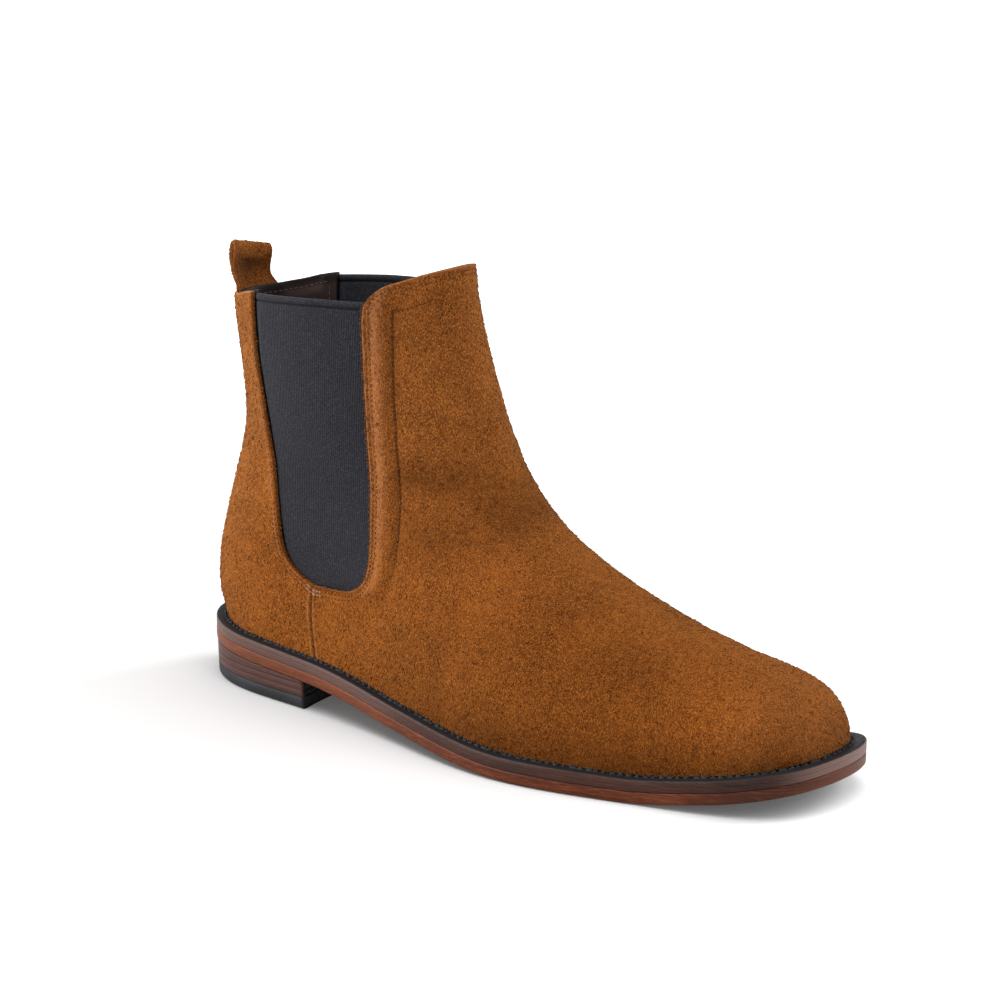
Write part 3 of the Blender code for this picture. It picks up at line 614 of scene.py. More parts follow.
def grainy_material(name, dark, light, scale, rough, metallic=0.0):
    """A plain inner finish with a grain: board, cork or steel."""
    m = Nodes(name)
    grains = m.noise(scale, 4, 0.65)
    m.set(Base_Color=m.mix(m.range(grains, 0.35, 0.65), dark, light), Roughness=rough, Metallic=metallic)
    m.set(Normal=m.bump(grains, 0.0003, 0.5))
    return m.material


# ---- the upper's grids

def edge_steps(count, reach):
    """Shares 0..1 of a length of reach millimetres, with close steps at its end (1)."""
    fine = EDGE_STEPS[None, :] / np.asarray(reach, float).reshape(-1, 1)
    inner = np.linspace(0, 1, count)[None, :-1] * (1 - fine[:, -1:])
    return np.concatenate([inner, 1 - fine[:, ::-1]], 1)


def half_grid(spine, edge, bottom, top, rows_up, columns):
    """(t, z) grid between a spine (ridge or back, column 0) and a free edge (last column)."""
    up = rows_up[:, None, None]
    spine_points, edge_points = spine(rows_up), edge(rows_up)
    reach = np.linalg.norm(edge_points - spine_points, axis=1)
    q = 1 - np.cos(edge_steps(columns, reach * 1.2) * math.pi / 2)
    across = q[..., None]
    between = lambda first, last: (1 - across) * first + across * last
    sides = between(spine_points[:, None], edge_points[:, None])
    low = (1 - up) ** 1.5 * (bottom(q) - between(bottom(0.0), bottom(1.0)))
    return sides + low + up * (top(q) - between(top(0.0), top(1.0)))


def wrap(grid):
    """(x, t, z) grid from a half grid: lateral edge, over the spine, to the medial edge, and its normals."""
    lateral, medial = on_upper(grid, -1), on_upper(grid, 1)
    lateral[:, 0, 0] = medial[:, 0, 0] = (lateral[:, 0, 0] + medial[:, 0, 0]) / 2
    points = np.concatenate([lateral[:, ::-1], medial[:, 1:]], 1)
    n = normals(points)
    if np.mean(n[:, 0, 0]) > 0:
        n = -n
    side, _ = edge_distances(points)
    near = (1 - fade(side, 6, 12))[..., None]
    faces = np.concatenate([face_normals(grid, -1)[:, ::-1], face_normals(grid, 1)[:, 1:]], 1)
    return points, unit(n * (1 - near) + faces * near)


def edge_distances(points):
    """Millimetres of surface from each grid point to the side edges and to the top edge."""
    from_left, from_low = arc_length(points.swapaxes(0, 1)).T, arc_length(points)
    return np.minimum(from_left, from_left[:, -1:] - from_left), from_low[-1:] - from_low


def rounded(distance, radius):
    """How far a rounded edge has dropped at a distance from it."""
    inside = np.clip(radius - distance, 0, radius)
    return radius - np.sqrt(radius**2 - inside**2)


def feather_half(start_t):
    """Side view of the feather line from the end it starts at (q 0) to the side seam (q 1)."""
    def line(q):
        t = start_t + (SEAM[0][0] - start_t) * np.asarray(q, float)
        return np.stack([t, welt_top(t) + 0.1], -1)
    return line


def joined(first, second, corner):
    """One function of 0..1 that walks one curve up to corner, then the other."""
    def line(v):
        v = np.asarray(v, float)
        a = first(np.clip(v / corner, 0, 1))
        b = second(np.clip((v - corner) / (1 - corner), 0, 1))
        return np.where((v <= corner)[..., None], a, b)
    return line


def climb_steps(rows, height, corner):
    """Shares 0..1 up a panel of about this height, one of them at the corner of seam and gore."""
    return np.sort(np.append(edge_steps(rows, height)[0], corner))


def front_half(rows, columns):
    """Side-view grid of the front panel's half."""
    corner = 0.2
    edge = joined(curve(SEAM), curve(GORE_FRONT), corner)
    apex_share = np.interp(COLLAR_FRONT[-1][1], ridge_z, np.linspace(0, 1, len(ridge_z)))
    spine = lambda v: ridge(apex_share * np.asarray(v, float) ** 1.35)
    up = climb_steps(rows, 190, corner)
    return half_grid(spine, edge, feather_half(FEATHER_TOE), curve(COLLAR_FRONT[::-1]), up, columns)


def back_half(rows, columns):
    """Side-view grid of the back panel's half."""
    corner = 0.22
    edge = joined(curve(SEAM), curve(GORE_BACK[::-1]), corner)
    behind = lambda v: edge(v) - np.stack([SEAM_GAP * (1 - fade(v, 0.9 * corner, corner)), 0 * v], -1)
    low, high = float(welt_top(FEATHER_BACK)) + 0.1, COLLAR_BACK[0][1]
    spine = lambda v: np.stack([back_line(low + (high - low) * v), low + (high - low) * v], -1)
    up = climb_steps(rows, 150, corner)
    return half_grid(spine, behind, feather_half(FEATHER_BACK), curve(COLLAR_BACK), up, columns)


def distance_to_path(points, path_points):
    """Side-view distance from grid points to a polyline, in millimetres."""
    p = points[..., 1:]
    best = np.full(p.shape[:-1], 1e9)
    for a, b in zip(path_points[:-1], path_points[1:]):
        d = b - a
        s = np.clip(((p - a) @ d) / (d @ d), 0, 1)
        best = np.minimum(best, np.linalg.norm(p - a - s[..., None] * d, axis=-1))
    return best


def suede_relief(points, side, top, rows_on_top):
    """Height of the suede's face above its smooth shape, in millimetres, from edges, seams and nap."""
    z = points[..., 2]
    above_seam = fade(z, 51, 54)
    height = -rounded(np.minimum(side, top), 0.75 - 0.5 * groove(z, 51.5, 4.0))
    for row in STITCH_ROWS:
        height -= 0.22 * groove(side, row, 0.4) * above_seam
        height -= 0.22 * groove(top, row, 0.4) * rows_on_top
    height += 0.16 * groove(side, sum(STITCH_ROWS) / 2, 0.6) * above_seam
    height += (0.5 * groove(side, SEAM_ROW, 0.6) - 0.12 * groove(side, 3.4, 1.2)) * (1 - above_seam)
    tufts = np.clip(grain(points, 1.2, 2) - 0.3, 0, 1)
    height += 0.09 * grain(points, 0.8, 1) + 0.35 * tufts**2 + 0.06 * grain(points, 3.5, 3)
    return height + 0.16 * grain(points, 13.0, 4)


def shading(points):
    """Painted shade on the suede: the ankle's bend, the vamp and its lower edge, with random darker patches.
    """
    t, z = points[..., 1], points[..., 2]
    ankle = groove(distance_to_path(points, np.array(ANKLE_CREASE)), 0, 8.0)
    ankle += 0.9 * np.exp(-((t - 136) / 22) ** 2 - ((z - 83) / 12) ** 2)
    low = (1 - fade(z - welt_top(t), 2, 22)) * fade(t, 110, 190)
    vamp = fade(t, 96, 150) * (1 - fade(t, 235, 275)) * (1 - fade(z, 45, 95))
    return 0.36 * ankle + 0.30 * low + 0.17 * vamp + 0.12 * np.clip(grain(points, 22.0, 8), 0, 1)


def ankle_fold(points):
    """Depth of the soft folds that walking has left at the ankle's bend."""
    t, z = points[..., 1], points[..., 2]
    reach = fade(t, 116, 126) * (1 - fade(t, 136, 150))
    level = z + 0.25 * (t - 120)
    return reach * (1.3 * groove(level, 103, 6.0) - 0.5 * groove(level, 115, 5.0))


def suede_piece(name, node, points, n, height, pale, dark, material, seed):
    """A closed sheet of suede with its raised fibres."""
    outer = points + n * height[..., None]
    piece = add_sheet(name, outer, points - n * SUEDE, material, [node], "suede", pale=pale, dark=dark)
    build_fibres(name + "_fibres", outer, n, pale, dark, material, seed)
    return piece


def build_fibres(name, points, n, pale, dark, material, seed, body="boot"):
    """Short fibres that stand off the suede, brushed mostly downwards, with a fringe at the side edges."""
    rng = np.random.default_rng(seed)
    across, down = np.diff(points[:-1], axis=1), np.diff(points[:, :-1], axis=0)
    area = np.linalg.norm(np.cross(across, down), axis=-1)
    count = int(area.sum() * FIBRES_PER_MM2)
    cells = rng.choice(area.size, count, p=area.ravel() / area.sum())
    i, j = np.unravel_index(cells, area.shape)
    u, v = rng.random((2, count, 1))
    root = points[i, j] + across[i, j] * u + down[i, j] * v
    normal = n[i, j]
    lean = rng.normal(0, 0.55, (count, 3)) + (0, 0, -0.8)
    fringe = int(count * FRINGE_SHARE)
    for number, (column, beside) in enumerate(((0, 4), (-1, -5))):
        chosen = slice(number * fringe, (number + 1) * fringe)
        row = rng.integers(1, len(points) - 1, fringe)
        outward = points[row, column] - points[row, beside]
        root[chosen] = points[row, column] + (points[row + 1, column] - points[row, column]) * v[chosen]
        root[chosen] -= outward * rng.uniform(0, 0.5, (fringe, 1))
        normal[chosen] = n[row, beside]
        lean[chosen] = rng.normal(0, 0.45, (fringe, 3)) + unit(outward) * 1.3 + (0, 0, -0.3)
        i[chosen], j[chosen] = row, beside % points.shape[1]
    lean = unit(lean - normal * np.sum(lean * normal, -1, keepdims=True))
    length = rng.uniform(*FIBRE_LENGTH, (count, 1))
    rise = rng.uniform(*FIBRE_RISE, (count, 1)) ** 1.5
    tip = root + lean * length + normal * rise * length
    thick = rng.uniform(*FIBRE_HALF_WIDTH, (count, 1))
    aside, sunk = np.cross(lean, normal) * thick, root - normal * FIBRE_ROOT
    vertices = np.stack([sunk + aside, sunk - aside, root + normal * thick * 1.4, tip], 1).reshape(-1, 3)
    faces = np.array([[0, 1, 2], [0, 3, 1], [1, 3, 2], [2, 3, 0]])
    faces = (np.arange(count)[:, None, None] * 4 + faces).reshape(-1, 3)
    shade = rng.random(count)
    # Fibres take the painted highlights and painted shade of the suede under them, plus random lighter and
    # darker fibres.
    pale = np.clip(pale[i, j] + 0.75 * np.clip(shade - 0.5, 0, 1), 0, 1)
    values = {"pale": np.repeat(pale, 4), "dark": np.repeat(dark[i, j] * 0.7 + 0.2 * (shade < 0.12), 4)}
    return add_piece(name, vertices, faces, material, body=body, slot="suede", values=values)


def build_front_panel(material):
    """Vamp, instep and front of the shaft: one piece of suede."""
    points, n = wrap(front_half(380, 200))
    t, z = points[..., 1], points[..., 2]
    side, top = edge_distances(points)
    seam = distance_to_path(points, curve(FACING_SEAM)(np.linspace(0, 1, 40)))
    seam_top = distance_to_path(points, curve(FACING_SEAM_TOP)(np.linspace(0, 1, 8)))
    seam_shown, beside_gore = fade(z, 60, 80), fade(z, 50, 58)
    height = suede_relief(points, side, top, side > 4) - ankle_fold(points)
    height -= 0.38 * groove(seam, 0, 0.5) * seam_shown + 0.8 * groove(seam, 0, 2.6)
    height += 1.0 * groove(side, 7.5, 3.6) * beside_gore * fade(top, 0, 12) - 0.4 * groove(seam_top, 0, 0.6)
    # Painted highlights on the rolled edges, the seam's raised bead below the gore, the raised strip beside
    # the gore and the toe tip.
    pale = 0.5 * groove(side, 0, 0.5) + 0.15 * groove(np.minimum(side, top), 0, 0.5)
    pale += 0.4 * groove(side, SEAM_ROW, 0.5) * (z < 51)
    pale += 0.30 * groove(side, 5.5, 3.0) * beside_gore + 0.10 * fade(t, 262, 288)
    # Painted shade from shading() and in the facing seam's groove; darker along the first stitch row beside
    # the gore.
    dark = shading(points) + 0.4 * groove(seam, 0, 0.35) * seam_shown + 0.15 * groove(seam, 0, 2.5)
    dark += 0.3 * groove(side, STITCH_ROWS[0], 0.5) * fade(z, 51, 54)
    return suede_piece("front_panel_suede", "front_panel", points, n, height, pale, dark, material, 1)


def build_back_panel(material):
    """Heel and back of the shaft: one piece of suede."""
    points, n = wrap(back_half(300, 110))
    t, z = points[..., 1], points[..., 2]
    side, top = edge_distances(points)
    height = suede_relief(points, side, top, 0.0) - 0.5 * groove(side, 0, 1.0) * fade(z, 53, 57)
    # Painted highlights on the rolled top edge, the ridge beside the gore and the seam's raised bead; paler
    # towards the heel.
    pale = 0.5 * groove(top, 0, 0.8) + 0.22 * groove(side, 3.2, 1.3) * (z > 54)
    pale += 0.4 * groove(side, SEAM_ROW, 0.5) * (z < 51) + 0.07 * (1 - fade(t, 18, 50))
    # Painted shade on the edge that stands over the elastic, plus half of shading()'s painted shade.
    dark = 0.62 * groove(side, 0.2, 1.1) * (z > 53) + 0.5 * shading(points)
    return suede_piece("back_panel_suede", "back_panel", points, n, height, pale, dark, material, 2)


# ---- the bottom

def sole_rings(profile):
    """Rings of (x, t, z) round the sole, one for each (inset, height) of a profile."""
    angles = (np.arange(RING_POINTS) + 0.5) * 2 * math.pi / RING_POINTS
    outlines = [(plan(angles, inset), height) for inset, height in profile]
    return [np.column_stack([p, underside(p[:, 1]) + height]) for p, height in outlines]


def painted_edge_sheen(rings, heel, toe, toe_dark=0.0):
    """Painted reflection lightening an edge at the heel and toe tip, and the edge darker beside the toe."""
    x, t, _ = np.concatenate(rings).T
    pale = heel * (1 - fade(t, 100, 150)) + toe * fade(t, 292, 305)
    return {"pale": pale, "dark": 0.45 * groove(t, 284, 13) * (x < 0) + toe_dark * fade(t, 286, 300)}


def build_sole(outsole, midsole, welt):
    """Outsole, midsole and welt, with softened edges and fine grooves between them."""
    # The last numbers give the painted reflection at the heel and toe tip, and the darkening beside the toe.
    for node, slot, profile, material, tint_and_sheen in (
        ("outsole", "sole_leather", OUTSOLE_EDGE, outsole, (0.17, 0.25, 0.35)),
        ("midsole", "edge_leather", MIDSOLE_EDGE, midsole, (0.35, 0.8)),
        ("welt", "welt_leather", WELT_EDGE, welt, (0.35, 0.8)),
    ):
        rings = sole_rings(profile)
        body, values = ring_stack(rings, node != "welt"), painted_edge_sheen(rings, *tint_and_sheen)
        add_piece(node + "_leather", *body, material, [node], slot=slot, values=values)


def heel_ring(inset, z):
    """A ring of (x, t) round the heel at height z: the sole's back part, closed by a hollow breast."""
    end = float(turn(HEEL_LENGTH))
    sides = np.linspace(-end, end, HEEL_RING_POINTS - HEEL_BREAST_POINTS + 1)
    taper = HEEL_TAPER * (1 - np.minimum(z, HEEL_TAPER_HEIGHT) / HEEL_TAPER_HEIGHT)
    outline = plan(sides, inset + HEEL_INSET + taper)
    s = np.linspace(0, 1, HEEL_BREAST_POINTS + 1)[1:-1, None]
    breast = outline[-1] + (outline[0] - outline[-1]) * s
    breast[:, 1] -= BREAST_HOLLOW * 4 * (s * (1 - s))[:, 0] - inset
    return np.concatenate([outline, breast])


def heel_layer(name, low, high, material, node, slot, soft=LIFT_SOFTNESS, red=(0, 0, 0, 0)):
    """One lift of the heel with softened edges. low is a height, high a height or a function of t."""
    rings = []
    for inset, up, base in ((soft, 0.0, low), (0.0, soft, low), (0.0, -soft, high), (soft, 0.0, high)):
        p = heel_ring(inset, HEEL_TOP_LEVEL if callable(base) else base)
        z = base(p[:, 1]) if callable(base) else np.full(len(p), base)
        rings.append(np.column_stack([p, z + up]))
    breast = np.arange(HEEL_RING_POINTS) > HEEL_RING_POINTS - HEEL_BREAST_POINTS
    values = {"red": np.repeat(red, HEEL_RING_POINTS), "dark": np.tile(breast, len(rings))}
    add_piece(name, *ring_stack(rings), material, [node], slot=slot, values=values)


def build_heel(stack, rubber):
    """The stacked heel."""
    heel_layer("top_piece_rubber", 0.0, TOP_PIECE, rubber, "top_piece", "rubber", 0.5)
    for number, (levels, node) in enumerate(zip(HEEL_LIFTS, ("heel_lift_lower", "heel_lift_upper")), 1):
        heel_layer(f"heel_lift_{number}", *levels, stack, node, "stack_leather")
    top = lambda t: underside(t) - HEEL_TOP_GAP
    tint_and_sheen = (0, 0, 0, 0.12)
    heel_layer("heel_lift_3", HEEL_SEAT_LEVEL, top, stack, "heel_seat_lift", "stack_leather", red=tint_and_sheen)


# ---- elastic, lining, tab

def gore_grid(rows, columns):
    """Side-view grid of the elastic between its sewn back and front edges."""
    back, front = (np.array(line, float) for line in (GORE_BACK[::-1], GORE_FRONT))
    front = front[front[:, 1] < GORE_TOP[-2][1]]
    front = front[np.argmin(front[:, 1]):]
    v, u = np.linspace(0, 1, rows)[:, None], np.linspace(0, 1, columns)
    level = GORE_BOTTOM + v * (GORE_TOP[1][1] - GORE_BOTTOM)
    back_t = np.interp(level, back[:, 1], back[:, 0]) - GORE_LAP
    front_t = np.interp(level, front[:, 1], front[:, 0]) + GORE_LAP
    t = back_t * (1 - u) + front_t * u
    return np.stack([t, GORE_BOTTOM + v * (np.interp(t, *np.array(GORE_TOP).T) - GORE_BOTTOM)], -1)


def build_gore(side, name, node, material):
    """One ribbed elastic gore with a folded top."""
    points = on_upper(gore_grid(200, 420), side)
    t, z = points[..., 1], points[..., 2]
    n = normals(points)
    if np.mean(n[..., 0]) * side < 0:
        n = -n
    middle = points[len(points) // 2]
    along = arc_length(middle)
    rib = 0.5 + 0.5 * np.cos(2 * math.pi * np.interp(t, middle[:, 1], along) / RIB_PITCH)
    below_top = np.interp(t, *np.array(GORE_TOP).T) - z
    hem = 1 - fade(below_top, 2.2, 2.6)
    shadow = groove(np.clip(along - GORE_LAP, 0, None), 0, 0.7)
    relief = 0.13 * rib * (1 - 0.5 * hem) + 0.3 * hem - 0.8 * groove(below_top, GORE_HEM, 0.35)
    relief += 0.1 * grain(points, 9.0, 5) - rounded(below_top, 0.6) - 0.6 * shadow
    outer = points + n * (relief - ELASTIC_DEPTH[0])[..., None]
    inner = points - n * (relief + ELASTIC_DEPTH[1])[..., None]
    # Painted shade: a dark line in the groove under the hem and a dark strip where the elastic runs under
    # the suede's edge.
    dark = np.clip(1.6 * groove(below_top, GORE_HEM, 0.42) + 0.9 * shadow, 0, 1)
    add_sheet(name, outer, inner, material, [node], "elastic", rib=rib, dark=dark)


def at_depth(line, depth, wanted):
    """The point of a line whose depth, which falls along the line, is the wanted one."""
    return np.array([np.interp(-wanted, -depth, line[:, k]) for k in range(3)])


def build_lining(material, thread):
    """The leather facing inside the front and back panels, sewn along its top and side edges."""
    for node, half in (("front_lining", front_half(110, 110)), ("back_lining", back_half(110, 60))):
        name, at_back = node + "_leather", node == "back_lining"
        points, n = wrap(half)
        side, top = edge_distances(points)
        beside_tab = fade(np.abs(points[..., 0]), 13.3, 18) if at_back else 1.0
        fold = (1 - fade(top, 1.0, 7)) * fade(side, GORE_LAP + 1, GORE_LAP + 4) * beside_tab
        depth = LINING_DEPTH - fold * (LINING_DEPTH - SUEDE - 0.1)
        band = 1 - fade(top, 2.2, 3.0)
        points[..., 2] += 0.35 * (1 - fade(top, 0, 3)) * at_back
        thick = LINING_THICKNESS + 0.35 * band - rounded(np.minimum(side, top), 0.5)
        outer, inner = points - n * depth[..., None], points - n * (depth + thick)[..., None]
        dark = 0.75 * band + 0.6 * groove(top, 3.0, 0.5)
        facing = add_sheet(name, outer, inner, material, [node], "lining_leather", dark=dark)
        sewing = (surface_of(facing), thread, 2.2, 1.5, 0.26)
        kept = np.flatnonzero(side[-1] > LINING_ROW)
        line = np.stack([at_depth(inner[:, k], top[:, k], LINING_ROW) for k in kept])
        stitches(name + "_stitches", line, *sewing)
        rows, columns = side.shape
        for step, side_name in ((1, "lateral"), (-1, "medial")):
            places, depths = inner[:, ::step][:, :columns // 2], -side[:, ::step][:, :columns // 2]
            kept = [row for row in range(rows // 2, rows) if top[row, ::step][0] > LINING_ROW]
            line = np.stack([at_depth(places[row], depths[row], -LINING_ROW) for row in kept])
            stitches(f"{name}_end_stitches_{side_name}", line, *sewing)


def build_tab(material):
    """The pull tab: a strip of suede, sewn in at both ends and folded over at the top."""
    seam = float(back_line(TAB_SEAM_HEIGHT)) + sum(ELASTIC_DEPTH) / 2
    path = (
        (seam - 0.65, 149), (seam - 0.65, 158), (11.4, 162.5), (10.3, 166.3), (9.3, 170), (9.1, 173.5),
        (9.6, 176.4), (10.0, 178.2), (10.7, 178.8), (11.4, 178.1), (11.6, 175.5), (11.0, 171.2),
        (11.2, 167.2), (12.5, 163), (seam + 0.65, 158), (seam + 0.65, 149),
    )
    rows, columns = 240, 100
    spine = curve(path)(np.linspace(0, 1, rows))
    t, z = spine[:, :1], spine[:, 1:]
    s = edge_steps(columns // 2, TAB_WIDTH / 2)[0]
    x = np.concatenate([-s[::-1], s[1:]]) * TAB_WIDTH / 2
    free, bend = fade(z, 161, 176), 18.0 + 9 * fade(z, 159, 167)
    twist = (TAB_TWIST - 0.1 * free) * x * fade(z, 159, 165)
    ahead, up = t + bend - np.sqrt(bend**2 - x**2) - twist, z - TAB_TILT * x * free
    middle = np.stack(np.broadcast_arrays(x[None], ahead, up), -1)
    middle[..., 1] += 0.35 * grain(middle, 9.0, 9) * free
    n = normals(middle)
    if np.mean(n[:20, :, 1]) > 0:
        n = -n
    edge = np.broadcast_to(np.minimum(x - x[0], x[-1] - x), middle.shape[:2])
    nap = 0.09 * grain(middle, 0.8, 6) + 0.4 * np.clip(grain(middle, 1.2, 7) - 0.3, 0, 1) ** 2
    half = TAB_PLY / 2 * (1 + 0.7 * fade(middle[..., 2], 162, 168)) - rounded(edge, 0.7) * 0.8
    outer, inner = middle + n * (half + nap)[..., None], middle - n * (half * 0.9)[..., None]
    # Painted shade over the leg that comes down from the fold and in the loop's hollow; painted highlights
    # on the strip's edges.
    facing = fade(np.arange(rows), rows * 0.55, rows * 0.62)[:, None]
    hollow = np.exp(-((up - 171) / 5.5) ** 2 - ((x + 1) / 10) ** 2) * facing
    pale, dark = 0.1 * groove(edge, 0, 0.6), np.clip(0.32 * facing + 0.6 * hollow, 0, 1)
    tab = add_sheet("pull_tab_suede", outer, inner, material, slot="suede", body=None, pale=pale, dark=dark)
    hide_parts("pull_tab", "pull_tab_root")
    shown = slice(int(rows * 0.12), int(rows * 0.88))
    furred = (grid[shown] for grid in (outer, n, pale, dark))
    fibres = build_fibres("pull_tab_fibres", *furred, material, 3, None)
    pivot = frame["joints"][0]["pos_m"][1]
    start, end = ((0, pivot, FLOOR_Z + height * MM) for height in TAB_BLEND)
    for piece in (tab, fibres):
        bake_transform(piece)
        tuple(start)
        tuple(end)


def stitches(
    name, path_points, surface, material, pitch, length, radius, lift=0.0, slot=None, nodes=(), loose=0
):
    """A row of separate stitches along a path on a surface, dipping into it at their ends."""
    rng = np.random.default_rng(5)
    p = np.asarray(path_points, float)
    along = arc_length(p)
    count = int(along[-1] / pitch)
    sides, bends = 6, 5
    profile = np.linspace(0, 1, bends)
    angles = np.arange(sides)[:, None] * 2 * math.pi / sides
    caps = np.array([[0, 1, 2, 3], [0, 3, 4, 5]])
    drop = radius * np.array([-0.9, 0.1, 0.3, 0.1, -0.9]) + lift
    vertices, quads = [], []
    for start in np.arange(count) * along[-1] / count:
        bulk, tilt, shift = 1 + loose * rng.uniform(-0.4, 0.4, 3) * (1, 2, 1)
        thick = radius * bulk * np.array([0.45, 0.95, 1.0, 0.95, 0.45])
        s = start + profile * length * shift
        centre = np.stack([np.interp(s, along, p[:, k]) for k in range(3)], -1)
        found = [surface.find_nearest(Vector(c))[:2] for c in to_world(centre)]
        hit, n = (np.array(column) for column in zip(*found))
        hit = np.stack([hit[:, 0] / MM, (BACK_Y - hit[:, 1]) / MM, (hit[:, 2] - FLOOR_Z) / MM], -1)
        n = unit(n.mean(0) * (1, -1, 1))
        across = np.cross(unit(hit[-1] - hit[0]), n)
        hit += across * ((profile - 0.5) * (tilt - 1) * radius * 2)[:, None] + n * drop[:, None]
        spokes = np.cos(angles) * across + np.sin(angles) * n
        base = len(vertices) * sides * bends
        vertices.append((hit[:, None] + thick[:, None, None] * spokes).reshape(-1, 3))
        quads += [grid_quads(bends, sides, base, closed=True), caps[:, ::-1] + base]
        quads.append(caps + base + (bends - 1) * sides)
    add_piece(name, np.concatenate(vertices), np.concatenate(quads), material, nodes, slot=slot)


def surface_of(*pieces):
    """A search tree of the faces of one or more pieces."""
    places, faces, before = [], [], 0
    for mesh in (piece.data for piece in pieces):
        co = np.zeros(len(mesh.vertices) * 3)
        mesh.vertices.foreach_get("co", co)
        corners = np.zeros(len(mesh.polygons) * 4, np.int32)
        mesh.polygons.foreach_get("vertices", corners)
        places += co.reshape(-1, 3).tolist()
        faces += (corners + before).reshape(-1, 4).tolist()
        before = len(places)
    return BVHTree.FromPolygons(places, faces)


def offset_path(points, distance):
    """A side-view curve moved to its left by distance."""
    line = curve(points)(np.linspace(0, 1, 120))
    tangent = unit(np.gradient(line, axis=0))
    return line + np.stack([-tangent[:, 1], tangent[:, 0]], -1) * distance


def build_stitching(front, back, thread, tack_thread):
    """The sewn rows of the upper."""
    on_front, on_back, on_both = surface_of(front), surface_of(back), surface_of(front, back)
    seam_t = SEAM[-1][0]
    for side, name in ((-1, "lateral"), (1, "medial")):
        for row, distance in enumerate(STITCH_ROWS, 1):
            gore = offset_path(GORE_FRONT, -distance)
            gore = gore[gore[:, 0] > seam_t + 1.5]
            collar = offset_path(COLLAR_FRONT, -distance)
            line = on_upper(np.concatenate([gore, collar[collar[:, 0] > gore[-1, 0] + 0.5]]), side)
            stitches(f"gore_front_stitches_{row}_{name}", line, on_front, thread, 2.0, 1.2, 0.23)
            gore = offset_path(GORE_BACK[::-1], distance)
            line = on_upper(gore[(gore[:, 0] < seam_t - 1.5) & (gore[:, 1] < 80)], side)
            stitches(f"gore_back_stitches_{row}_{name}", line, on_back, thread, 2.0, 1.2, 0.23)
        for part, points in (("side", FACING_SEAM[2:]), ("top", FACING_SEAM_TOP)):
            line = on_upper(curve(points)(np.linspace(0, 1, 120)), side)
            stitches(f"facing_{part}_stitches_{name}", line, on_front, thread, 1.7, 1.25, 0.24)
        for row, drop in enumerate((1.0, 2.6), 1):
            tack = curve(((70.0, 52.2 - drop), (74, 50.9 - drop), (79, 50.7 - drop)))
            line = on_upper(tack(np.linspace(0, 1, 30)), side)
            stitches(f"tack_stitches_{row}_{name}", line, on_both, tack_thread, 1.5, 1.4, 0.36, 0.2)


def build_welt_stitching(thread):
    """Two rows of heavy stitches on top of the welt, along the upper."""
    surface = surface_of(bpy.data.objects["welt_leather"])
    angles = np.linspace(0, 2 * math.pi, 900)
    for name, start, inset, sizes, nodes in (
        ("welt_stitches", 0.0, -1.2, (3.3, 3.0, 0.55, -0.08), ["welt_stitching"]),
        ("welt_inner_stitches", 0.01, -0.1, (2.3, 1.5, 0.42, 0.25), ()),
    ):
        p = feather(angles + start, inset)
        line = np.column_stack([p, welt_top(p[:, 1])])
        stitches(name, line, surface, thread, *sizes, "thread", nodes, 1)


def build_floor():
    """A pale floor that glows to white away from the boot."""
    mesh = bpy.data.meshes.new("floor")
    corners = [(x * FLOOR_REACH, y * FLOOR_REACH, 0) for x, y in ((-1, -1), (1, -1), (1, 1), (-1, 1))]
    mesh.from_pydata(corners, [], [(0, 1, 2, 3)])
    floor = new_object("floor", mesh)
    floor.location.z = FLOOR_Z - FLOOR_GAP
    m = Nodes("floor")
    far = m.add("ShaderNodeVectorMath", {0: m.place}, "Value", operation="LENGTH")
    m.set(Base_Color=(0.80, 0.80, 0.80, 1), Roughness=0.9, Emission_Color=(1, 1, 1, 1))
    m.set(Emission_Strength=m.range(far, 0.25, 0.9, 0.08, 1.0))
    mesh.materials.append(m.material)
    return floor


def build_lights(floor):
    """Soft studio light: one lamp leaves out the floor and one lights only the floor."""
    world = bpy.data.worlds.new("studio")
    bpy.context.scene.world = world
    world.use_nodes = True
    background = world.node_tree.nodes["Background"].inputs
    background["Color"].default_value = (1, 1, 1, 1)
    background["Strength"].default_value = 0.40
    target = Vector(to_world((0, 130, 70)))
    for name, azimuth, elevation, power, size, on_floor in (
        ("left", -139, 32, 60.0, 1.6, "EXCLUDE"),
        ("front", -5, 35, 9.0, 1.4, None),
        ("right", 58, 28, 22.0, 1.0, None),
        ("top", -60, 80, 16.0, 1.9, None),
        ("floor_wash", 0, 89, 22.0, 2.4, "INCLUDE"),
    ):
        light = bpy.data.lights.new(name, "AREA")
        light.energy, light.size = power, size
        lamp = new_object(name, light)
        back = direction(azimuth, elevation)
        lamp.location = target + back * LAMP_DISTANCE
        lamp.rotation_euler = back.to_track_quat("Z", "Y").to_euler()
        if on_floor:
            linked = bpy.data.collections.new(name + "_floor")
            linked.objects.link(floor)
            lamp.light_linking.receiver_collection = linked
            linked.collection_objects[0].light_linking.link_state = on_floor


def build_camera():
    """The camera at the photo's angle."""
    camera = bpy.data.cameras.new("camera")
    camera.lens, camera.sensor_width, camera.clip_end = CAMERA_LENS, 36, 40
    view = new_object("camera", camera)
    back = direction(*CAMERA_ANGLES)
    view.location = Vector(to_world(CAMERA_TARGET)) + back * CAMERA_DISTANCE * MM
    roll = Matrix.Rotation(math.radians(CAMERA_ROLL), 3, "Z")
    view.rotation_euler = (back.to_track_quat("Z", "Y").to_matrix() @ roll).to_euler()
    bpy.context.scene.camera = view
    bpy.context.scene.view_settings.view_transform = "Standard"


def direction(azimuth, elevation):
    """Unit vector from the object towards a viewer at these angles; azimuth 0 stands at -Y, -90 at -X."""
    a, e = math.radians(azimuth), math.radians(elevation)
    return Vector((math.sin(a) * math.cos(e), -math.cos(a) * math.cos(e), math.sin(e)))


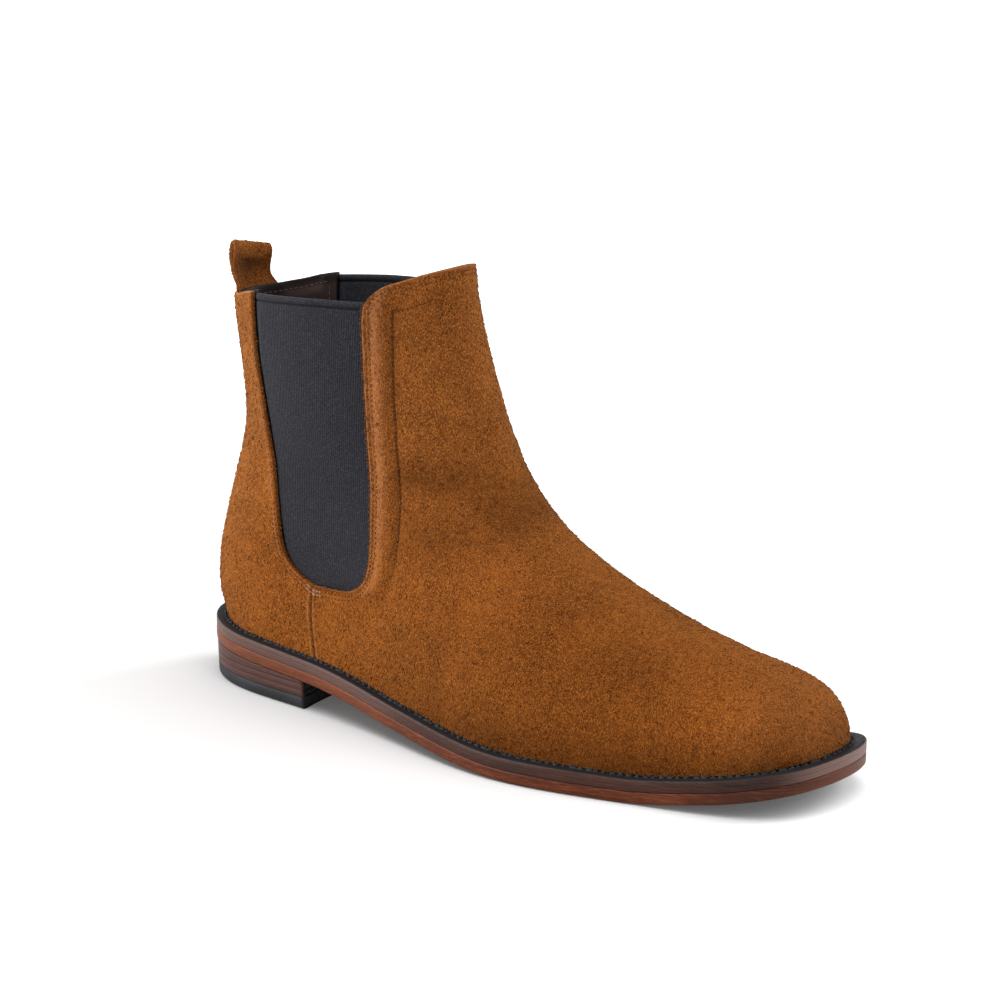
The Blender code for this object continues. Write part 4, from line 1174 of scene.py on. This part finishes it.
def main():
    suede, elastic, lining = suede_material(), elastic_material(), lining_material()
    # Colours of the painted reflection on the sole's edges.
    sheen_red, sheen_grey = (0.240, 0.075, 0.035), (0.160, 0.095, 0.078)
    outsole = edge_material(
        "sole_edge", (0.048, 0.0105, 0.0046), (0.114, 0.0275, 0.0094), (0.240, 0.070, 0.022), sheen_red
    )
    midsole = edge_material(
        "midsole_edge", (0.026, 0.0098, 0.0070), (0.052, 0.0195, 0.0130), (0.082, 0.030, 0.018), sheen_grey,
        shine=0.14,
    )
    welt = edge_material(
        "welt_edge", (0.028, 0.0115, 0.0088), (0.056, 0.0230, 0.0165), (0.088, 0.035, 0.0225), sheen_grey,
        shine=0.14, black_top=True,
    )
    stack = edge_material(
        "heel_stack", (0.040, 0.0165, 0.0130), (0.070, 0.0305, 0.0245), (0.100, 0.038, 0.027),
        along=22, up=2000,
    )
    thread = thread_material("upper_thread", (0.034, 0.0105, 0.0034), (0.090, 0.029, 0.0085))
    tack_thread = thread_material("tack_thread", (0.24, 0.11, 0.07), (0.42, 0.23, 0.155))
    facing_thread = thread_material("facing_thread", (0.075, 0.036, 0.028), (0.150, 0.078, 0.060))
    black_thread = thread_material("welt_thread", (0.008, 0.008, 0.009), (0.035, 0.034, 0.036))
    board = grainy_material("fibre_board", (0.22, 0.14, 0.075), (0.42, 0.29, 0.17), 500, 0.9)
    cork = grainy_material("cork", (0.16, 0.085, 0.035), (0.40, 0.24, 0.12), 350, 0.95)
    steel = grainy_material("steel", (0.35, 0.35, 0.36), (0.6, 0.6, 0.6), 800, 0.4, 1.0)
    inner = dict(insole=board, toe_puff=board, heel_counter=board, cork_filler=cork, sock_liner=lining)
    for name, node in frame["nodes"].items():
        node.data.materials.clear()
        node.data.materials.append(inner.get(name, steel))
    front, back = build_front_panel(suede), build_back_panel(suede)
    build_gore(-1, "gore_lateral_elastic", "gore_lateral", elastic)
    build_gore(1, "gore_medial_elastic", "gore_medial", elastic)
    build_lining(lining, facing_thread)
    build_tab(suede)
    build_sole(outsole, midsole, welt)
    build_heel(stack, rubber_material())
    build_stitching(front, back, thread, tack_thread)
    build_welt_stitching(black_thread)
    build_lights(build_floor())
    build_camera()


main()
